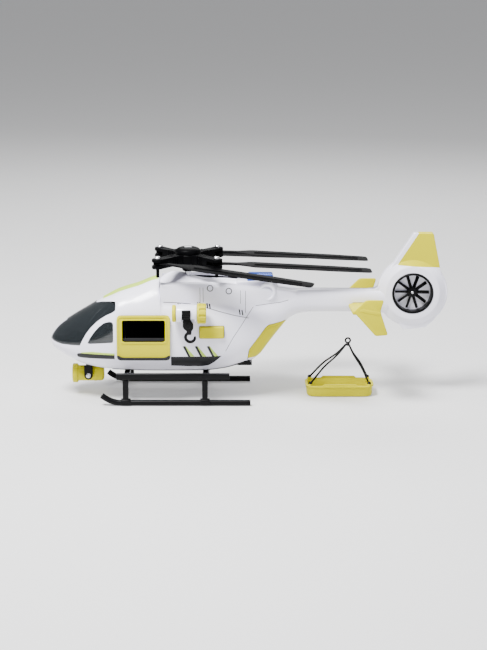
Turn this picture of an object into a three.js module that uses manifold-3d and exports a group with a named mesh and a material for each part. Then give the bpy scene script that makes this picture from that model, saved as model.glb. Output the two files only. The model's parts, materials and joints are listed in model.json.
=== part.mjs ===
// Toy rescue helicopter, 36 cm class. Millimetres, +Z up, nose towards -X, port side towards -Y.
// The origin is the middle of the bounding box on the surface that the skids stand on.
import * as THREE from "three";
import { mergeVertices } from "three/addons/utils/BufferGeometryUtils.js";
import Module from "manifold-3d";

const wasm = await Module();
wasm.setup();

// Driving dimensions ------------------------------------------------------------------------------
const GAP = 0.3; // clearance between neighbouring pieces
const WALL = 2.0; // moulded wall thickness
const RING_POINTS = 28; // points round a fuselage section
const ROUND = 14; // sides of a small round piece

const HULL = { nose: -180, tail: 180, halfWidth: 34, finTop: 150, boomEnd: 126 };
const DOOR = { x0: -117.5, x1: -70, z0: 40.7, z1: 81.4, corner: 4, lip: 2.5, stand: 1.0, thick: 1.5 };
const DOOR_WINDOW = { x0: -112.6, x1: -74.4, z0: 58, z1: 77.3, corner: 2 };
const FLOOR = { x0: -126, x1: -8, z0: 40, z1: 42, halfWidth: 28 };
const TRAY = { x0: -124, x1: 8, halfWidth: 19, top: 36 };
const DECK = { x0: -80, x1: 26, low: 99 };
const MAST = { x: -54.5, r: 3, armZ: 127, hubR: 11.5, hubTop: 137.5 };
const BLADE = { pivotR: 37, length: 142, chord: 12, thick: 2.2, droop: 5, cuff: 22 };
const FAN = { x: 148.2, z: 95.7, r: 17.7, halfDepth: 8, shroudR: 25.5 };
const WINCH = { x0: -67.6, x1: -37.6, y: -42, z: 85.4, r: 7.6, knobR: 9, drumR: 4 };
const LAMP = { x: -145.8, z: 19.4, r: 7.1, flangeR: 8.8, front: -160.8, back: -132.2 };
const GEAR = {
  y: 40, skidR: 2.75, skidZ: 2.5, x0: -130, x1: 1.8, legX: [-110, -39], barTop: 25.2, stepZ0: 24.2, stepZ1: 29.7,
};
const STABILISER = { span: 90, z: 86, thick: 3, x0: 90, x1: 117 };
const BUTTON = { x0: -43.7, x1: -21.9, z0: 60.7, z1: 71.3, stand: 2.4, travel: 1.5 };
const STRETCHER = { x0: 52, x1: 114.5, y0: -15, y1: 17, height: 12, apexZ: 53 };

// Materials ---------------------------------------------------------------------------------------
const plastic = (color, roughness = 0.3) => new THREE.MeshStandardMaterial({ color, roughness, metalness: 0 });
const WHITE = plastic(0xf1f1f6);
const YELLOW = plastic(0xe6e132);
const BLACK = plastic(0x16171a);
const GREY = plastic(0x4a4c50, 0.5);
const GREEN = plastic(0x2c6b3c, 0.6);
const GLASS = new THREE.MeshStandardMaterial({ color: 0x30363c, roughness: 0.05, transparent: true, opacity: 0.5 });
const BLUE = new THREE.MeshStandardMaterial({ color: 0x1c58c8, roughness: 0.1, transparent: true, opacity: 0.7 });
const STEEL = new THREE.MeshStandardMaterial({ color: 0xb8babd, roughness: 0.3, metalness: 1 });

// Solid modelling helpers -------------------------------------------------------------------------
function solid(geometry) {
  for (const name of ["normal", "uv", "color"]) geometry.deleteAttribute(name);
  const merged = mergeVertices(geometry, 1e-5);
  const vertProperties = new Float32Array(merged.attributes.position.array);
  const triVerts = new Uint32Array(merged.index.array);
  return new wasm.Manifold(new wasm.Mesh({ numProp: 3, vertProperties, triVerts }));
}

function box(x0, x1, y0, y1, z0, z1) {
  const geometry = new THREE.BoxGeometry(x1 - x0, y1 - y0, z1 - z0);
  return solid(geometry.translate((x0 + x1) / 2, (y0 + y1) / 2, (z0 + z1) / 2));
}

// A round bar from one point to another, with an end radius of its own where it tapers.
function bar(from, to, r0, r1 = r0, sides = ROUND) {
  const a = new THREE.Vector3(...from);
  const along = new THREE.Vector3(...to).sub(a);
  const geometry = new THREE.CylinderGeometry(r1, r0, along.length(), sides);
  geometry.translate(0, along.length() / 2, 0);
  geometry.applyQuaternion(new THREE.Quaternion().setFromUnitVectors(new THREE.Vector3(0, 1, 0), along.normalize()));
  return solid(geometry.translate(a.x, a.y, a.z));
}

// A side-view outline of [x, z] points, pushed sideways from y0 to y1.
function sidePlate(points, y0, y1) {
  const shape = new THREE.Shape(points.map(([x, z]) => new THREE.Vector2(x, z)));
  const geometry = new THREE.ExtrudeGeometry(shape, { depth: y1 - y0, bevelEnabled: false });
  return solid(geometry.rotateX(Math.PI / 2).translate(0, y1, 0));
}

// A plan-view outline of [x, y] points, raised from z0 to z1.
function planPlate(points, z0, z1) {
  const shape = new THREE.Shape(points.map(([x, y]) => new THREE.Vector2(x, y)));
  const geometry = new THREE.ExtrudeGeometry(shape, { depth: z1 - z0, bevelEnabled: false });
  return solid(geometry.translate(0, 0, z0));
}

// The four rounded corners of a rectangle, as outline points.
function roundedRectangle(a0, a1, b0, b1, radius, steps = 4) {
  const points = [];
  const centres = [[a1 - radius, b1 - radius], [a0 + radius, b1 - radius], [a0 + radius, b0 + radius], [a1 - radius, b0 + radius]];
  centres.forEach(([a, b], corner) => {
    for (let i = 0; i <= steps; i++) {
      const angle = ((corner + i / steps) * Math.PI) / 2;
      points.push([a + radius * Math.cos(angle), b + radius * Math.sin(angle)]);
    }
  });
  return points;
}

function turned(profile, sides = ROUND) {
  return solid(new THREE.LatheGeometry(profile.map(([r, z]) => new THREE.Vector2(r, z)), sides).rotateX(Math.PI / 2));
}

// A closed body through rings of equal point counts, capped flat at both ends.
function skin(rings) {
  const count = rings[0].length;
  const positions = rings.flat(2);
  const index = [];
  for (let r = 0; r + 1 < rings.length; r++) {
    for (let i = 0; i < count; i++) {
      const j = (i + 1) % count;
      const [a, b, c, d] = [r * count + i, r * count + j, (r + 1) * count + j, (r + 1) * count + i];
      index.push(a, b, c, a, c, d);
    }
  }
  const last = (rings.length - 1) * count;
  for (let i = 1; i + 1 < count; i++) {
    index.push(0, i + 1, i, last, last + i, last + i + 1);
  }
  const geometry = new THREE.BufferGeometry();
  geometry.setAttribute("position", new THREE.Float32BufferAttribute(positions, 3));
  geometry.setIndex(index);
  return solid(geometry);
}

const union = (...parts) => parts.reduce((a, b) => a.add(b));

const helicopter = new THREE.Group();

function piece(name, manifold, material) {
  const { vertProperties, triVerts } = manifold.getMesh();
  const geometry = new THREE.BufferGeometry();
  geometry.setAttribute("position", new THREE.Float32BufferAttribute(vertProperties, 3));
  geometry.setIndex(new THREE.Uint32BufferAttribute(triVerts, 1));
  geometry.computeVertexNormals();
  const mesh = new THREE.Mesh(geometry, material);
  mesh.name = name;
  helicopter.add(mesh);
  return mesh;
}

// Fuselage surface --------------------------------------------------------------------------------
// Each section is two half super-ellipses on a shared widest line:
// station x, low z, high z, half width, z of the widest line, exponent above, exponent below.
const SECTIONS = [
  [-180, 50.2, 53.8, 2.2, 52, 2, 2],
  [-177.5, 45.4, 58.5, 9, 51.6, 2, 2],
  [-171, 41.0, 66.3, 16.5, 50.6, 2, 2],
  [-161, 35.6, 73.4, 23, 49.6, 2.1, 2.2],
  [-149, 30.4, 80.6, 27.8, 49.4, 2.2, 2.4],
  [-137, 28.0, 87.5, 30.8, 50, 2.35, 2.6],
  [-126, 26.8, 93.3, 32.8, 51.5, 2.6, 2.8],
  [-117, 26.3, 97.5, 34, 54, 3, 2.8],
  [-100, 25.5, 103.2, 34, 54, 2.55, 2.8],
  [-80.5, 25.3, 109.9, 34, 54, 2.3, 2.8],
  [-77, 25.3, 96.5, 34, 54, 3, 2.8],
  [-40, 25.6, 95.5, 34, 54, 3, 2.8],
  [-24, 27.2, 95, 33, 56, 3, 2.8],
  [-10, 30, 94.5, 30.5, 58, 2.8, 2.6],
  [3, 33.5, 94.5, 27, 62, 2.6, 2.4],
  [10, 38.5, 95, 25, 66, 2.4, 2.2],
  [18, 49, 96, 22, 72, 2.3, 2.2],
  [28, 62, 97.5, 18.2, 79, 2.2, 2.2],
  [38, 73, 98.6, 15, 85, 2.2, 2.2],
  [48, 76.8, 99, 12.5, 87.5, 2.3, 2.3],
  [62, 77.8, 99, 11, 88.3, 2.4, 2.4],
  [92, 77.6, 98.8, 9.6, 88.2, 2.4, 2.4],
  [HULL.boomEnd, 76.8, 98.6, 8, 87.8, 2.4, 2.4],
];

function sectionRing([x, low, high, halfWidth, widest, up, down], grow, sides = RING_POINTS) {
  const ring = [];
  for (let i = 0; i < sides; i++) {
    const angle = (i / sides) * 2 * Math.PI;
    const c = Math.cos(angle);
    const s = Math.sin(angle);
    const power = 2 / (s >= 0 ? up : down);
    const height = (s >= 0 ? high - widest : widest - low) + grow;
    const y = Math.sign(c) * Math.abs(c) ** power * Math.max(halfWidth + grow, 0.4);
    ring.push([x, y, widest + Math.sign(s) * Math.abs(s) ** power * Math.max(height, 0.4)]);
  }
  return ring;
}

function hullBetween(x0, x1, grow) {
  const inside = SECTIONS.filter(([x]) => x > x0 + 0.01 && x < x1 - 0.01);
  return skin([sectionAt(x0), ...inside, sectionAt(x1)].map((section) => sectionRing(section, grow)));
}

function sectionAt(x) {
  const next = SECTIONS.findIndex(([station]) => station >= x);
  if (next <= 0) return SECTIONS[0];
  const [a, b] = [SECTIONS[next - 1], SECTIONS[next]];
  const share = (x - a[0]) / (b[0] - a[0]);
  return a.map((value, i) => value + (b[i] - value) * share);
}

// Half width of the skin at a station and height, for what is fixed to the side.
function sideY(x, z, grow = 0) {
  const [, low, high, halfWidth, widest, up, down] = sectionAt(x);
  const [height, power] = z >= widest ? [high - widest, up] : [widest - low, down];
  const ratio = Math.min(Math.abs(z - widest) / (height + grow), 1);
  return (halfWidth + grow) * (1 - ratio ** power) ** (1 / power);
}

// The cowl: upright side walls above the shoulder, from the mast hump back to the boom.
// x, half width, top z
const COWL_SECTIONS = [
  [-79, 25, 108.8],
  [-66, 25.2, 109.6],
  [-50, 25.2, 110],
  [-36, 25, 109.8],
  [-24, 24.8, 109.3],
  [-12, 24, 108],
  [1, 22, 106.2],
  [12, 19.6, 104.8],
  [24, 16.5, 102.4],
  [42, 12, 98.6],
];

function cowlBody(grow) {
  const rings = COWL_SECTIONS.map(([x, halfWidth, top], i) => {
    const z0 = 80 - grow;
    const h = (top - z0 + grow) / 2;
    return sectionRing([x - (i === 0 ? grow : 0), z0, z0 + 2 * h, halfWidth, z0 + h, 8, 8], grow, 28);
  });
  return skin(rings);
}

// Tail: fin above and below the fan shroud.
const FIN_OUTLINE = [
  [108, 98.2], [115.7, 98.7], [148.6, HULL.finTop], [166, HULL.finTop], [174, 112], [179, 103],
  [180, 95.7], [177, 84], [168, 70], [160, 63.3], [140.6, 61.4], [128.7, 76.6], [108, 78],
];
const FIN_HALF_THICK = 4.6;

function finBody() {
  const blade = sidePlate(FIN_OUTLINE, -FIN_HALF_THICK, FIN_HALF_THICK);
  const shroud = bar([FAN.x, -FAN.halfDepth, FAN.z], [FAN.x, FAN.halfDepth, FAN.z], FAN.shroudR, FAN.shroudR, 30);
  const mid = bar([FAN.x, -6, FAN.z], [FAN.x, 6, FAN.z], 29, 29, 30);
  return union(blade, shroud, mid);
}

// Outlines seen from the side ---------------------------------------------------------------------
const WIDE = 60; // beyond every side of the fuselage
const SPINE = { x: -164.6, halfWidth: 2, top: 78 };
const WINDSCREEN = [
  [-190, 53.6], [-179, 53.2], [-175.5, 52.3], [-169, 51.4], [-158, 51.7], [-151.3, 52], [-148.7, 57.5],
  [-145.2, 63.4], [-141.1, 68.6], [-136.4, 73.2], [-131.7, 76.9], [-127, 79.9], [-122.3, 82.3], [-118.9, 84.6],
  [-118.6, 88.6], [-119.1, 91.6], [-122.8, 91.2], [-127.8, 90.1], [-131.6, 89.2], [-134.5, 88.2], [-137.6, 87],
  [-137.6, 100], [-190, 100],
];
const SIDE_WINDOW = [
  [-145, 53.9], [-120.7, 56.2], [-120.7, 73.6], [-122, 75], [-124.5, 75], [-129.2, 73.5], [-133.9, 69.8],
  [-138.6, 64.5], [-142.2, 59.2],
];
// The lower front edge of the rear door runs square to its hinge arm, so the door swings clear of the belly.
const REAR_DOOR = [
  [-1.3, 37.4], [0.2, 48.2], [14.6, 67.3], [17.6, 70.2], [33, 72.4], [48, 62], [16, 29], [6.2, 29],
];
// Half of the deck's plan, as x and half width from the front to the rear.
const DECK_PLAN = [[-80, 16], [-78.5, 19], [-75, 20.5], [-20, 20.5], [1, 18.5], [12, 16], [21, 13.2], [26, 9.5]];
const DECK_TOP = [[DECK.x0, 104.5], [DECK.x1, 101]]; // side view line of the sunken deck

// The same outline with every corner moved towards the middle.
function inset(points, amount) {
  const cx = points.reduce((sum, p) => sum + p[0], 0) / points.length;
  const cz = points.reduce((sum, p) => sum + p[1], 0) / points.length;
  return points.map(([x, z]) => {
    const reach = Math.hypot(x - cx, z - cz);
    return [x + ((cx - x) * amount) / reach, z + ((cz - z) * amount) / reach];
  });
}

const across = (points) => sidePlate(points, -WIDE, WIDE);
const half = (side) => box(-200, 200, side > 0 ? GAP / 2 : -WIDE, side > 0 ? WIDE : -GAP / 2, 0, 200);
const rectangle = (r, grow = 0) =>
  roundedRectangle(r.x0 - grow, r.x1 + grow, r.z0 - grow, r.z1 + grow, Math.max(r.corner + grow, 0.5));
const shell = (outside, inside, x0 = -176, x1 = 100) =>
  hullBetween(x0, x1, outside).subtract(hullBetween(x0 - 0.5, x1 + 0.5, inside));
const room = hullBetween(-174, 100, -WALL - GAP); // the space inside the moulded walls

// Fuselage halves ---------------------------------------------------------------------------------
const SCREW = { head: 2.2, shank: 1.2, hole: 1.5, boss: 3.4 };
const FUSELAGE_SCREWS = [{ name: "boom", x: 62, z: 88.3, y: 10.9 }];

function deckOutline(gap) {
  const middle = (DECK.x0 + DECK.x1) / 2;
  const edge = DECK_PLAN.map(([x, y]) => [x - gap * Math.sign(x - middle), y - gap]);
  return [...edge.map(([x, y]) => [x, -y]), ...edge.reverse()];
}

function fuselage() {
  const outer = hullBetween(HULL.nose, HULL.boomEnd, 0);
  const inner = hullBetween(HULL.nose + 4, HULL.boomEnd - 10, -WALL);
  const spine = box(HULL.nose - 5, SPINE.x, -SPINE.halfWidth, SPINE.halfWidth, 40, SPINE.top);
  const tray = roundedRectangle(TRAY.x0, TRAY.x1, -TRAY.halfWidth, TRAY.halfWidth, 5);
  const deck = deckOutline(0);
  let body = union(outer, cowlBody(0), finBody()).subtract(union(inner, cowlBody(-WALL)));
  for (const { x, z, y } of FUSELAGE_SCREWS) {
    body = body.add(bar([x, -y + WALL / 2, z], [x, y - WALL / 2, z], SCREW.boss));
    body = body.subtract(bar([x, -y + WALL, z], [x, WIDE, z], SCREW.hole));
    body = body.subtract(bar([x, y - WALL, z], [x, WIDE, z], SCREW.head + GAP));
  }
  return body
    .subtract(across(WINDSCREEN).subtract(spine))
    .subtract(across(SIDE_WINDOW))
    .subtract(across(rectangle(DOOR, -DOOR.lip)))
    .subtract(across(REAR_DOOR))
    .subtract(planPlate(deck, DECK.low, 130))
    .subtract(planPlate(tray, 0, TRAY.top))
    .subtract(bar([FAN.x, -WIDE, FAN.z], [FAN.x, WIDE, FAN.z], FAN.r + 1.2, FAN.r + 1.2, 30))
    .subtract(box(BUTTON.x0 - GAP, BUTTON.x1 + GAP, -WIDE, 0, BUTTON.z0 - GAP, BUTTON.z1 + GAP))
    .subtract(box(STABILISER.x0 + 4, STABILISER.x1 - 4, -WIDE, WIDE, STABILISER.z - 1.8, STABILISER.z + 1.8))
    .subtract(bar([LAMP.x, 0, 20], [LAMP.x, 0, 40], 2.3));
}

const fuselageBody = fuselage();
piece("fuselage_left", fuselageBody.intersect(half(-1)), WHITE);
piece("fuselage_right", fuselageBody.intersect(half(1)), WHITE);
for (const { name, x, z, y } of FUSELAGE_SCREWS) {
  const head = bar([x, y - WALL + GAP, z], [x, y - GAP, z], SCREW.head);
  piece(`fuselage_screw_${name}`, head.add(bar([x, -y + WALL + 1, z], [x, y - 1, z], SCREW.shank)), STEEL);
}

// Engine deck, beacon -----------------------------------------------------------------------------
const HUMP = [
  [-79.5, 96, 108.8, 9, 102, 2, 2],
  [-74, 96, 112.8, 13.5, 102, 2.2, 2],
  [-69, 96, 114.8, 15, 102, 2.3, 2],
  [-63, 96, 114.6, 15.5, 102, 2.3, 2],
  [-55, 96, 112.6, 15.5, 102, 2.4, 2],
  [-43, 96, 110.4, 14, 102, 2.4, 2],
  [-26, 96, 107.4, 11.5, 101.5, 2.4, 2],
  [-8, 96, 105, 9, 101, 2.4, 2],
];
const BEACON = { x0: -1.2, x1: 22.3, x: 10.5, halfWidth: 7, low: 106.6, top: 113 };

function engineDeck() {
  const outline = deckOutline(GAP);
  const [front, back] = DECK_TOP;
  const plate = sidePlate([[front[0], front[1] - WALL], [back[0], back[1] - WALL], back, front], -30, 30);
  const hump = skin(HUMP.map((section) => sectionRing(section, 0, 28)));
  const humpInside = skin(HUMP.slice(1).map((section) => sectionRing(section, -WALL, 28)));
  const pedestal = box(BEACON.x0 - 8.7, BEACON.x1 + 1.2, -8.5, 8.5, 100, BEACON.low - GAP);
  return planPlate(outline, DECK.low + GAP, 130)
    .intersect(union(plate, hump, pedestal))
    .subtract(humpInside)
    .subtract(box(BEACON.x0 - 6.7, BEACON.x1 - 0.8, -6.5, 6.5, 95, BEACON.low - 2))
    .subtract(bar([BEACON.x, 0, 95], [BEACON.x, 0, 120], 3))
    .subtract(bar([MAST.x, 0, 90], [MAST.x, 0, 130], MAST.r + 0.4));
}

piece("engine_deck", engineDeck(), WHITE);
const beaconOutline = roundedRectangle(BEACON.x0, BEACON.x1, -BEACON.halfWidth, BEACON.halfWidth, 3);
piece("beacon_lens", planPlate(beaconOutline, BEACON.low, BEACON.top), BLUE);
piece("beacon_led", bar([BEACON.x, 0, 101], [BEACON.x, 0, BEACON.low - GAP], 2.5), GLASS);

// Belly tray and battery compartment --------------------------------------------------------------
const CELL = { r: 5.25, x0: -104, x1: -59.5, y: 6, z: 33.6 };
const COVER = { x0: -107, x1: -57, halfWidth: 13, corner: 2 };
const COVER_SCREW_X = -101;

function bellyTray() {
  const outline = roundedRectangle(TRAY.x0 + GAP, TRAY.x1 - GAP, -TRAY.halfWidth + GAP, TRAY.halfWidth - GAP, 5);
  const [x0, x1, y] = [COVER.x0 - 1.8, COVER.x1 + 1.8, COVER.halfWidth + 1.8];
  const walls = box(x0, x1, -y, y, 26, FLOOR.z0 - GAP).subtract(box(COVER.x0, COVER.x1, -y + 1.8, y - 1.8, 20, 45));
  const grooves = GEAR.legX.map((x) => box(x - 3, x + 3, -30, 30, 0, GEAR.barTop + GAP));
  const opening = box(COVER.x0, COVER.x1, -COVER.halfWidth, COVER.halfWidth, 20, 30);
  return planPlate(outline, 15, TRAY.top - GAP)
    .intersect(shell(0.6, -1.6, -135, 12))
    .add(walls)
    .add(box(-10, 3.2, -15, 15, 30.5, TRAY.top - GAP))
    .subtract(union(...grooves, opening))
    .subtract(across(REAR_DOOR));
}

function batteryCover() {
  const outline = roundedRectangle(
    COVER.x0 + GAP, COVER.x1 - GAP, -COVER.halfWidth + GAP, COVER.halfWidth - GAP, COVER.corner,
  );
  return planPlate(outline, 15, 40)
    .intersect(shell(0.6, -1.2, -135, 12))
    .subtract(box(GEAR.legX[0] - 3, GEAR.legX[0] + 3, -30, 30, 0, GEAR.barTop + GAP))
    .subtract(bar([COVER_SCREW_X, 0, 20], [COVER_SCREW_X, 0, 30], SCREW.hole));
}

piece("belly_tray", bellyTray(), BLACK);
piece("battery_cover", batteryCover(), BLACK);
const screwHead = bar([COVER_SCREW_X, 0, 23.4], [COVER_SCREW_X, 0, 24.5], SCREW.head);
piece("battery_cover_screw", screwHead.add(bar([COVER_SCREW_X, 0, 24], [COVER_SCREW_X, 0, 27.8], SCREW.shank)), STEEL);
for (const side of [-1, 1]) {
  const cell = bar([CELL.x0, side * CELL.y, CELL.z], [CELL.x1, side * CELL.y, CELL.z], CELL.r);
  const nib = bar([CELL.x1 - 1, side * CELL.y, CELL.z], [CELL.x1 + 1.2, side * CELL.y, CELL.z], 1.8, 1.8, 10);
  piece(`battery_${side < 0 ? "left" : "right"}`, cell.add(nib), GREEN);
}

// Cabin -------------------------------------------------------------------------------------------
const SEAT = { x0: -141, x1: -125, y: 13.5, halfWidth: 8, low: FLOOR.z1 + GAP, cushion: 53, top: 74 };
const BENCH = { x0: -62, x1: -49, halfWidth: 21, cushion: 54, top: 76 };

piece("cabin_floor", box(FLOOR.x0, FLOOR.x1, -FLOOR.halfWidth, FLOOR.halfWidth, FLOOR.z0, FLOOR.z1).intersect(room), GREY);
for (const side of [-1, 1]) {
  const outline = [
    [SEAT.x0, SEAT.low], [SEAT.x1, SEAT.low], [SEAT.x1 + 1, SEAT.top - 2], [SEAT.x1, SEAT.top],
    [SEAT.x1 - 3, SEAT.top], [SEAT.x1 - 5, SEAT.cushion + 1], [SEAT.x0, SEAT.cushion],
  ];
  const seat = sidePlate(outline, side * SEAT.y - SEAT.halfWidth, side * SEAT.y + SEAT.halfWidth);
  piece(`pilot_seat_${side < 0 ? "left" : "right"}`, seat.intersect(room), GREY);
}
const dashboard = sidePlate([[-166, 44], [-152, 44], [-152, 50], [-157, 56.5], [-164, 55]], -15, 15);
piece("instrument_panel", dashboard.intersect(room), GREY);
const benchOutline = [
  [BENCH.x0, SEAT.low], [BENCH.x1, SEAT.low], [BENCH.x1, BENCH.top], [BENCH.x1 - 3, BENCH.top],
  [BENCH.x1 - 4, BENCH.cushion], [BENCH.x0, BENCH.cushion],
];
piece("rear_bench", sidePlate(benchOutline, -BENCH.halfWidth, BENCH.halfWidth).intersect(room), GREY);

// Glazing and doors -------------------------------------------------------------------------------
const LIFT = { x: -118.7, z: 91.8 }; // hinge line of the windscreen

// The roof edge as the glass meets it while it lifts, with a little room all round.
function roofSweep() {
  const edge = shell(0.35, -2.35, -139, -115).subtract(across(inset(WINDSCREEN, 0.25)));
  const roof = edge.intersect(box(-139, -115, -30, 30, 84, 100)).translate([-LIFT.x, 0, -LIFT.z]);
  const angles = [1, 3, 5, 7, 9, 11.5, 14, 17, 20, 24, 28, 33, 40];
  return union(...angles.map((angle) => roof.rotate([0, -angle, 0]))).translate([LIFT.x, 0, LIFT.z]);
}

const windscreenFrame = box(HULL.nose - 5, SPINE.x + GAP, -SPINE.halfWidth - GAP, SPINE.halfWidth + GAP, 40, SPINE.top);
const glass = shell(-0.1, -1.7, -178, -117).intersect(across(inset(WINDSCREEN, 1)));
piece("windscreen", glass.subtract(windscreenFrame).subtract(roofSweep()).simplify(0.02), GLASS);

for (const side of [-1, 1]) {
  const name = side < 0 ? "left" : "right";
  const sideWindow = shell(-0.2, -1.7, -150, -115).intersect(across(inset(SIDE_WINDOW, 0.6)));
  piece(`side_window_${name}`, sideWindow.intersect(half(side)), GLASS);
  const door = shell(DOOR.stand + DOOR.thick, DOOR.stand, -125, -60)
    .intersect(across(rectangle(DOOR)))
    .subtract(across(rectangle(DOOR_WINDOW)));
  piece(`door_${name}`, door.intersect(half(side)), YELLOW);
}
piece("rear_door", shell(0, -WALL, -10, 60).intersect(across(inset(REAR_DOOR, 0.6))), YELLOW);

// Sound button and electronics --------------------------------------------------------------------
const BOARD = { x0: -47, x1: -18, z0: 54, z1: 78, y0: -24.6, y1: -23 };
const buttonX = (BUTTON.x0 + BUTTON.x1) / 2;
const buttonZ = (BUTTON.z0 + BUTTON.z1) / 2;
const buttonFace = -(sideY(buttonX, buttonZ) + BUTTON.stand);
const buttonOutline = roundedRectangle(BUTTON.x0, BUTTON.x1, BUTTON.z0, BUTTON.z1, 1.2, 2);
const buttonStem = bar([buttonX, buttonFace + 1, buttonZ], [buttonX, BOARD.y0 - 3.8, buttonZ], 2, 2, 12);
piece("sound_button", sidePlate(buttonOutline, buttonFace, buttonFace + 6).add(buttonStem), YELLOW);
piece("button_dome", bar([buttonX, BOARD.y0 - GAP, buttonZ], [buttonX, BOARD.y0 - 2, buttonZ], 3, 2, 12), GREY);
piece("circuit_board", box(BOARD.x0, BOARD.x1, BOARD.y0, BOARD.y1, BOARD.z0, BOARD.z1), GREEN);
piece("speaker", turned([[0, 30.4], [11, 30.4], [13, 32], [13, 33], [6, 35.4], [0, 35.4]]), GREY).position.x = -36;

// Winch -------------------------------------------------------------------------------------------
const STRING = { x: -54, y: WINCH.y - WINCH.drumR - 0.7, r: 0.5 };
const DRUM = { x0: WINCH.x0 + 3.7, x1: WINCH.x1 - 8.1 };
const alongWinch = (x0, x1, r, sides = 20) => bar([x0, WINCH.y, WINCH.z], [x1, WINCH.y, WINCH.z], r, r, sides);

function winchHousing() {
  const foot = box(DRUM.x0 + 2, DRUM.x1 - 2, WINCH.y, -26, WINCH.z - 3.5, WINCH.z + 6);
  return alongWinch(DRUM.x0, DRUM.x1, WINCH.r)
    .add(foot)
    .subtract(hullBetween(-90, -20, GAP))
    .subtract(alongWinch(DRUM.x0 - 1, DRUM.x1 + 1, WINCH.drumR + 0.4))
    .subtract(box(STRING.x - 1.5, STRING.x + 1.5, STRING.y - 1.2, STRING.y + 1.2, 70, WINCH.z))
    .subtract(box(-59.6, -47.6, -60, STRING.y + 2.5, 70, 81.8));
}

function winchKnob() {
  const x0 = WINCH.x1 - 7.8;
  let knob = alongWinch(x0, WINCH.x1, WINCH.knobR);
  for (let i = 0; i < 10; i++) {
    const angle = (i / 10) * 2 * Math.PI;
    const y = WINCH.y + (WINCH.knobR + 0.7) * Math.cos(angle);
    const z = WINCH.z + (WINCH.knobR + 0.7) * Math.sin(angle);
    knob = knob.subtract(bar([x0 + 2.2, y, z], [WINCH.x1 + 1, y, z], 1.9, 1.9, 8));
  }
  return knob;
}

function stringGuide() {
  return box(-58.9, -51.1, -51.4, STRING.y + 2, 81.6, 89.9)
    .subtract(alongWinch(-70, -40, WINCH.r + GAP))
    .subtract(bar([STRING.x, STRING.y, 70], [STRING.x, STRING.y, 92], 1.1, 1.1, 10));
}

function hook() {
  const centre = { x: STRING.x + 2.4, z: 64.9 };
  const outline = [];
  const arc = (radius, from, to, steps) => {
    for (let i = 0; i <= steps; i++) {
      const angle = ((from + ((to - from) * i) / steps) * Math.PI) / 180;
      outline.push([centre.x + radius * Math.cos(angle), centre.z + radius * Math.sin(angle)]);
    }
  };
  arc(5.3, 110, 385, 16);
  arc(3.1, 385, 70, 14);
  const block = [
    [STRING.x - 3.6, 81.2], [STRING.x - 4.1, 77.5], [STRING.x - 4.1, 74], [STRING.x - 0.8, 70.9], [STRING.x - 0.6, 67.2],
    [STRING.x + 3.6, 67.2], [STRING.x + 3.9, 70.9], [STRING.x + 5.4, 74], [STRING.x + 5.2, 77], [STRING.x + 2.8, 81.2],
  ];
  const curve = sidePlate(outline, STRING.y - 1.3, STRING.y + 1.3);
  const plate = sidePlate(block.reverse(), STRING.y - 2.2, STRING.y + 2.2);
  return curve.add(plate.subtract(bar([centre.x, -WIDE, centre.z], [centre.x, 0, centre.z], 3.1)));
}

piece("winch_housing", winchHousing(), WHITE);
piece("winch_cap", alongWinch(WINCH.x0, DRUM.x0 - GAP, WINCH.r + 0.1), YELLOW);
piece("winch_drum", alongWinch(DRUM.x0, DRUM.x1, WINCH.drumR, 16), BLACK);
piece("winch_knob", winchKnob(), YELLOW);
piece("string_guide", stringGuide(), BLACK);
piece("winch_string", bar([STRING.x, STRING.y, 81.4], [STRING.x, STRING.y, WINCH.z - 0.1], STRING.r, STRING.r, 8), BLACK);
piece("hook", hook(), BLACK);

// Searchlight -------------------------------------------------------------------------------------
const alongLamp = (x0, x1, r, r1 = r) => bar([x0, 0, LAMP.z], [x1, 0, LAMP.z], r, r1, 20);
const alongPivot = (y0, y1, r) => bar([LAMP.x, y0, LAMP.z], [LAMP.x, y1, LAMP.z], r, r, 14);
const YOKE = { halfWidth: 3.9, bridgeHalfWidth: 2.6, inner: 8.3, outer: 10, low: 27.6, top: 28.8 };

function lampBody() {
  return alongLamp(LAMP.front, LAMP.front + 4.5, LAMP.flangeR)
    .add(alongLamp(LAMP.front + 4, LAMP.back - 2, LAMP.r))
    .add(alongLamp(LAMP.back - 2.05, LAMP.back, LAMP.r, LAMP.r - 1.8))
    .subtract(alongLamp(LAMP.front - 1, LAMP.front + 2.2, LAMP.flangeR - 1.3))
    .subtract(alongPivot(-20, 20, 1.5));
}

function lampYoke() {
  const [x0, x1] = [LAMP.x - YOKE.halfWidth, LAMP.x + YOKE.halfWidth];
  const straps = [-1, 1].map((side) => {
    const [y0, y1] = side < 0 ? [-YOKE.outer, -YOKE.inner] : [YOKE.inner, YOKE.outer];
    return box(x0, x1, y0, y1, LAMP.z, YOKE.top).add(alongPivot(y0, y1, YOKE.halfWidth));
  });
  const [b0, b1] = [LAMP.x - YOKE.bridgeHalfWidth, LAMP.x + YOKE.bridgeHalfWidth];
  return union(box(b0, b1, -YOKE.outer, YOKE.outer, YOKE.low, YOKE.top), ...straps)
    .add(bar([LAMP.x, 0, YOKE.low], [LAMP.x, 0, 37], 2))
    .subtract(alongPivot(-20, 20, 1.5));
}

piece("searchlight_body", lampBody(), YELLOW);
piece("searchlight_lens", alongLamp(LAMP.front + 0.6, LAMP.front + 1.9, LAMP.flangeR - 1.6), GLASS);
piece("searchlight_yoke", lampYoke(), BLACK);
const lampScrew = alongPivot(-YOKE.outer - 1.5, -YOKE.outer - GAP, 2.2).add(alongPivot(-YOKE.outer - 1, YOKE.outer, 1.2));
piece("searchlight_screw", lampScrew, STEEL);

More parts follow.
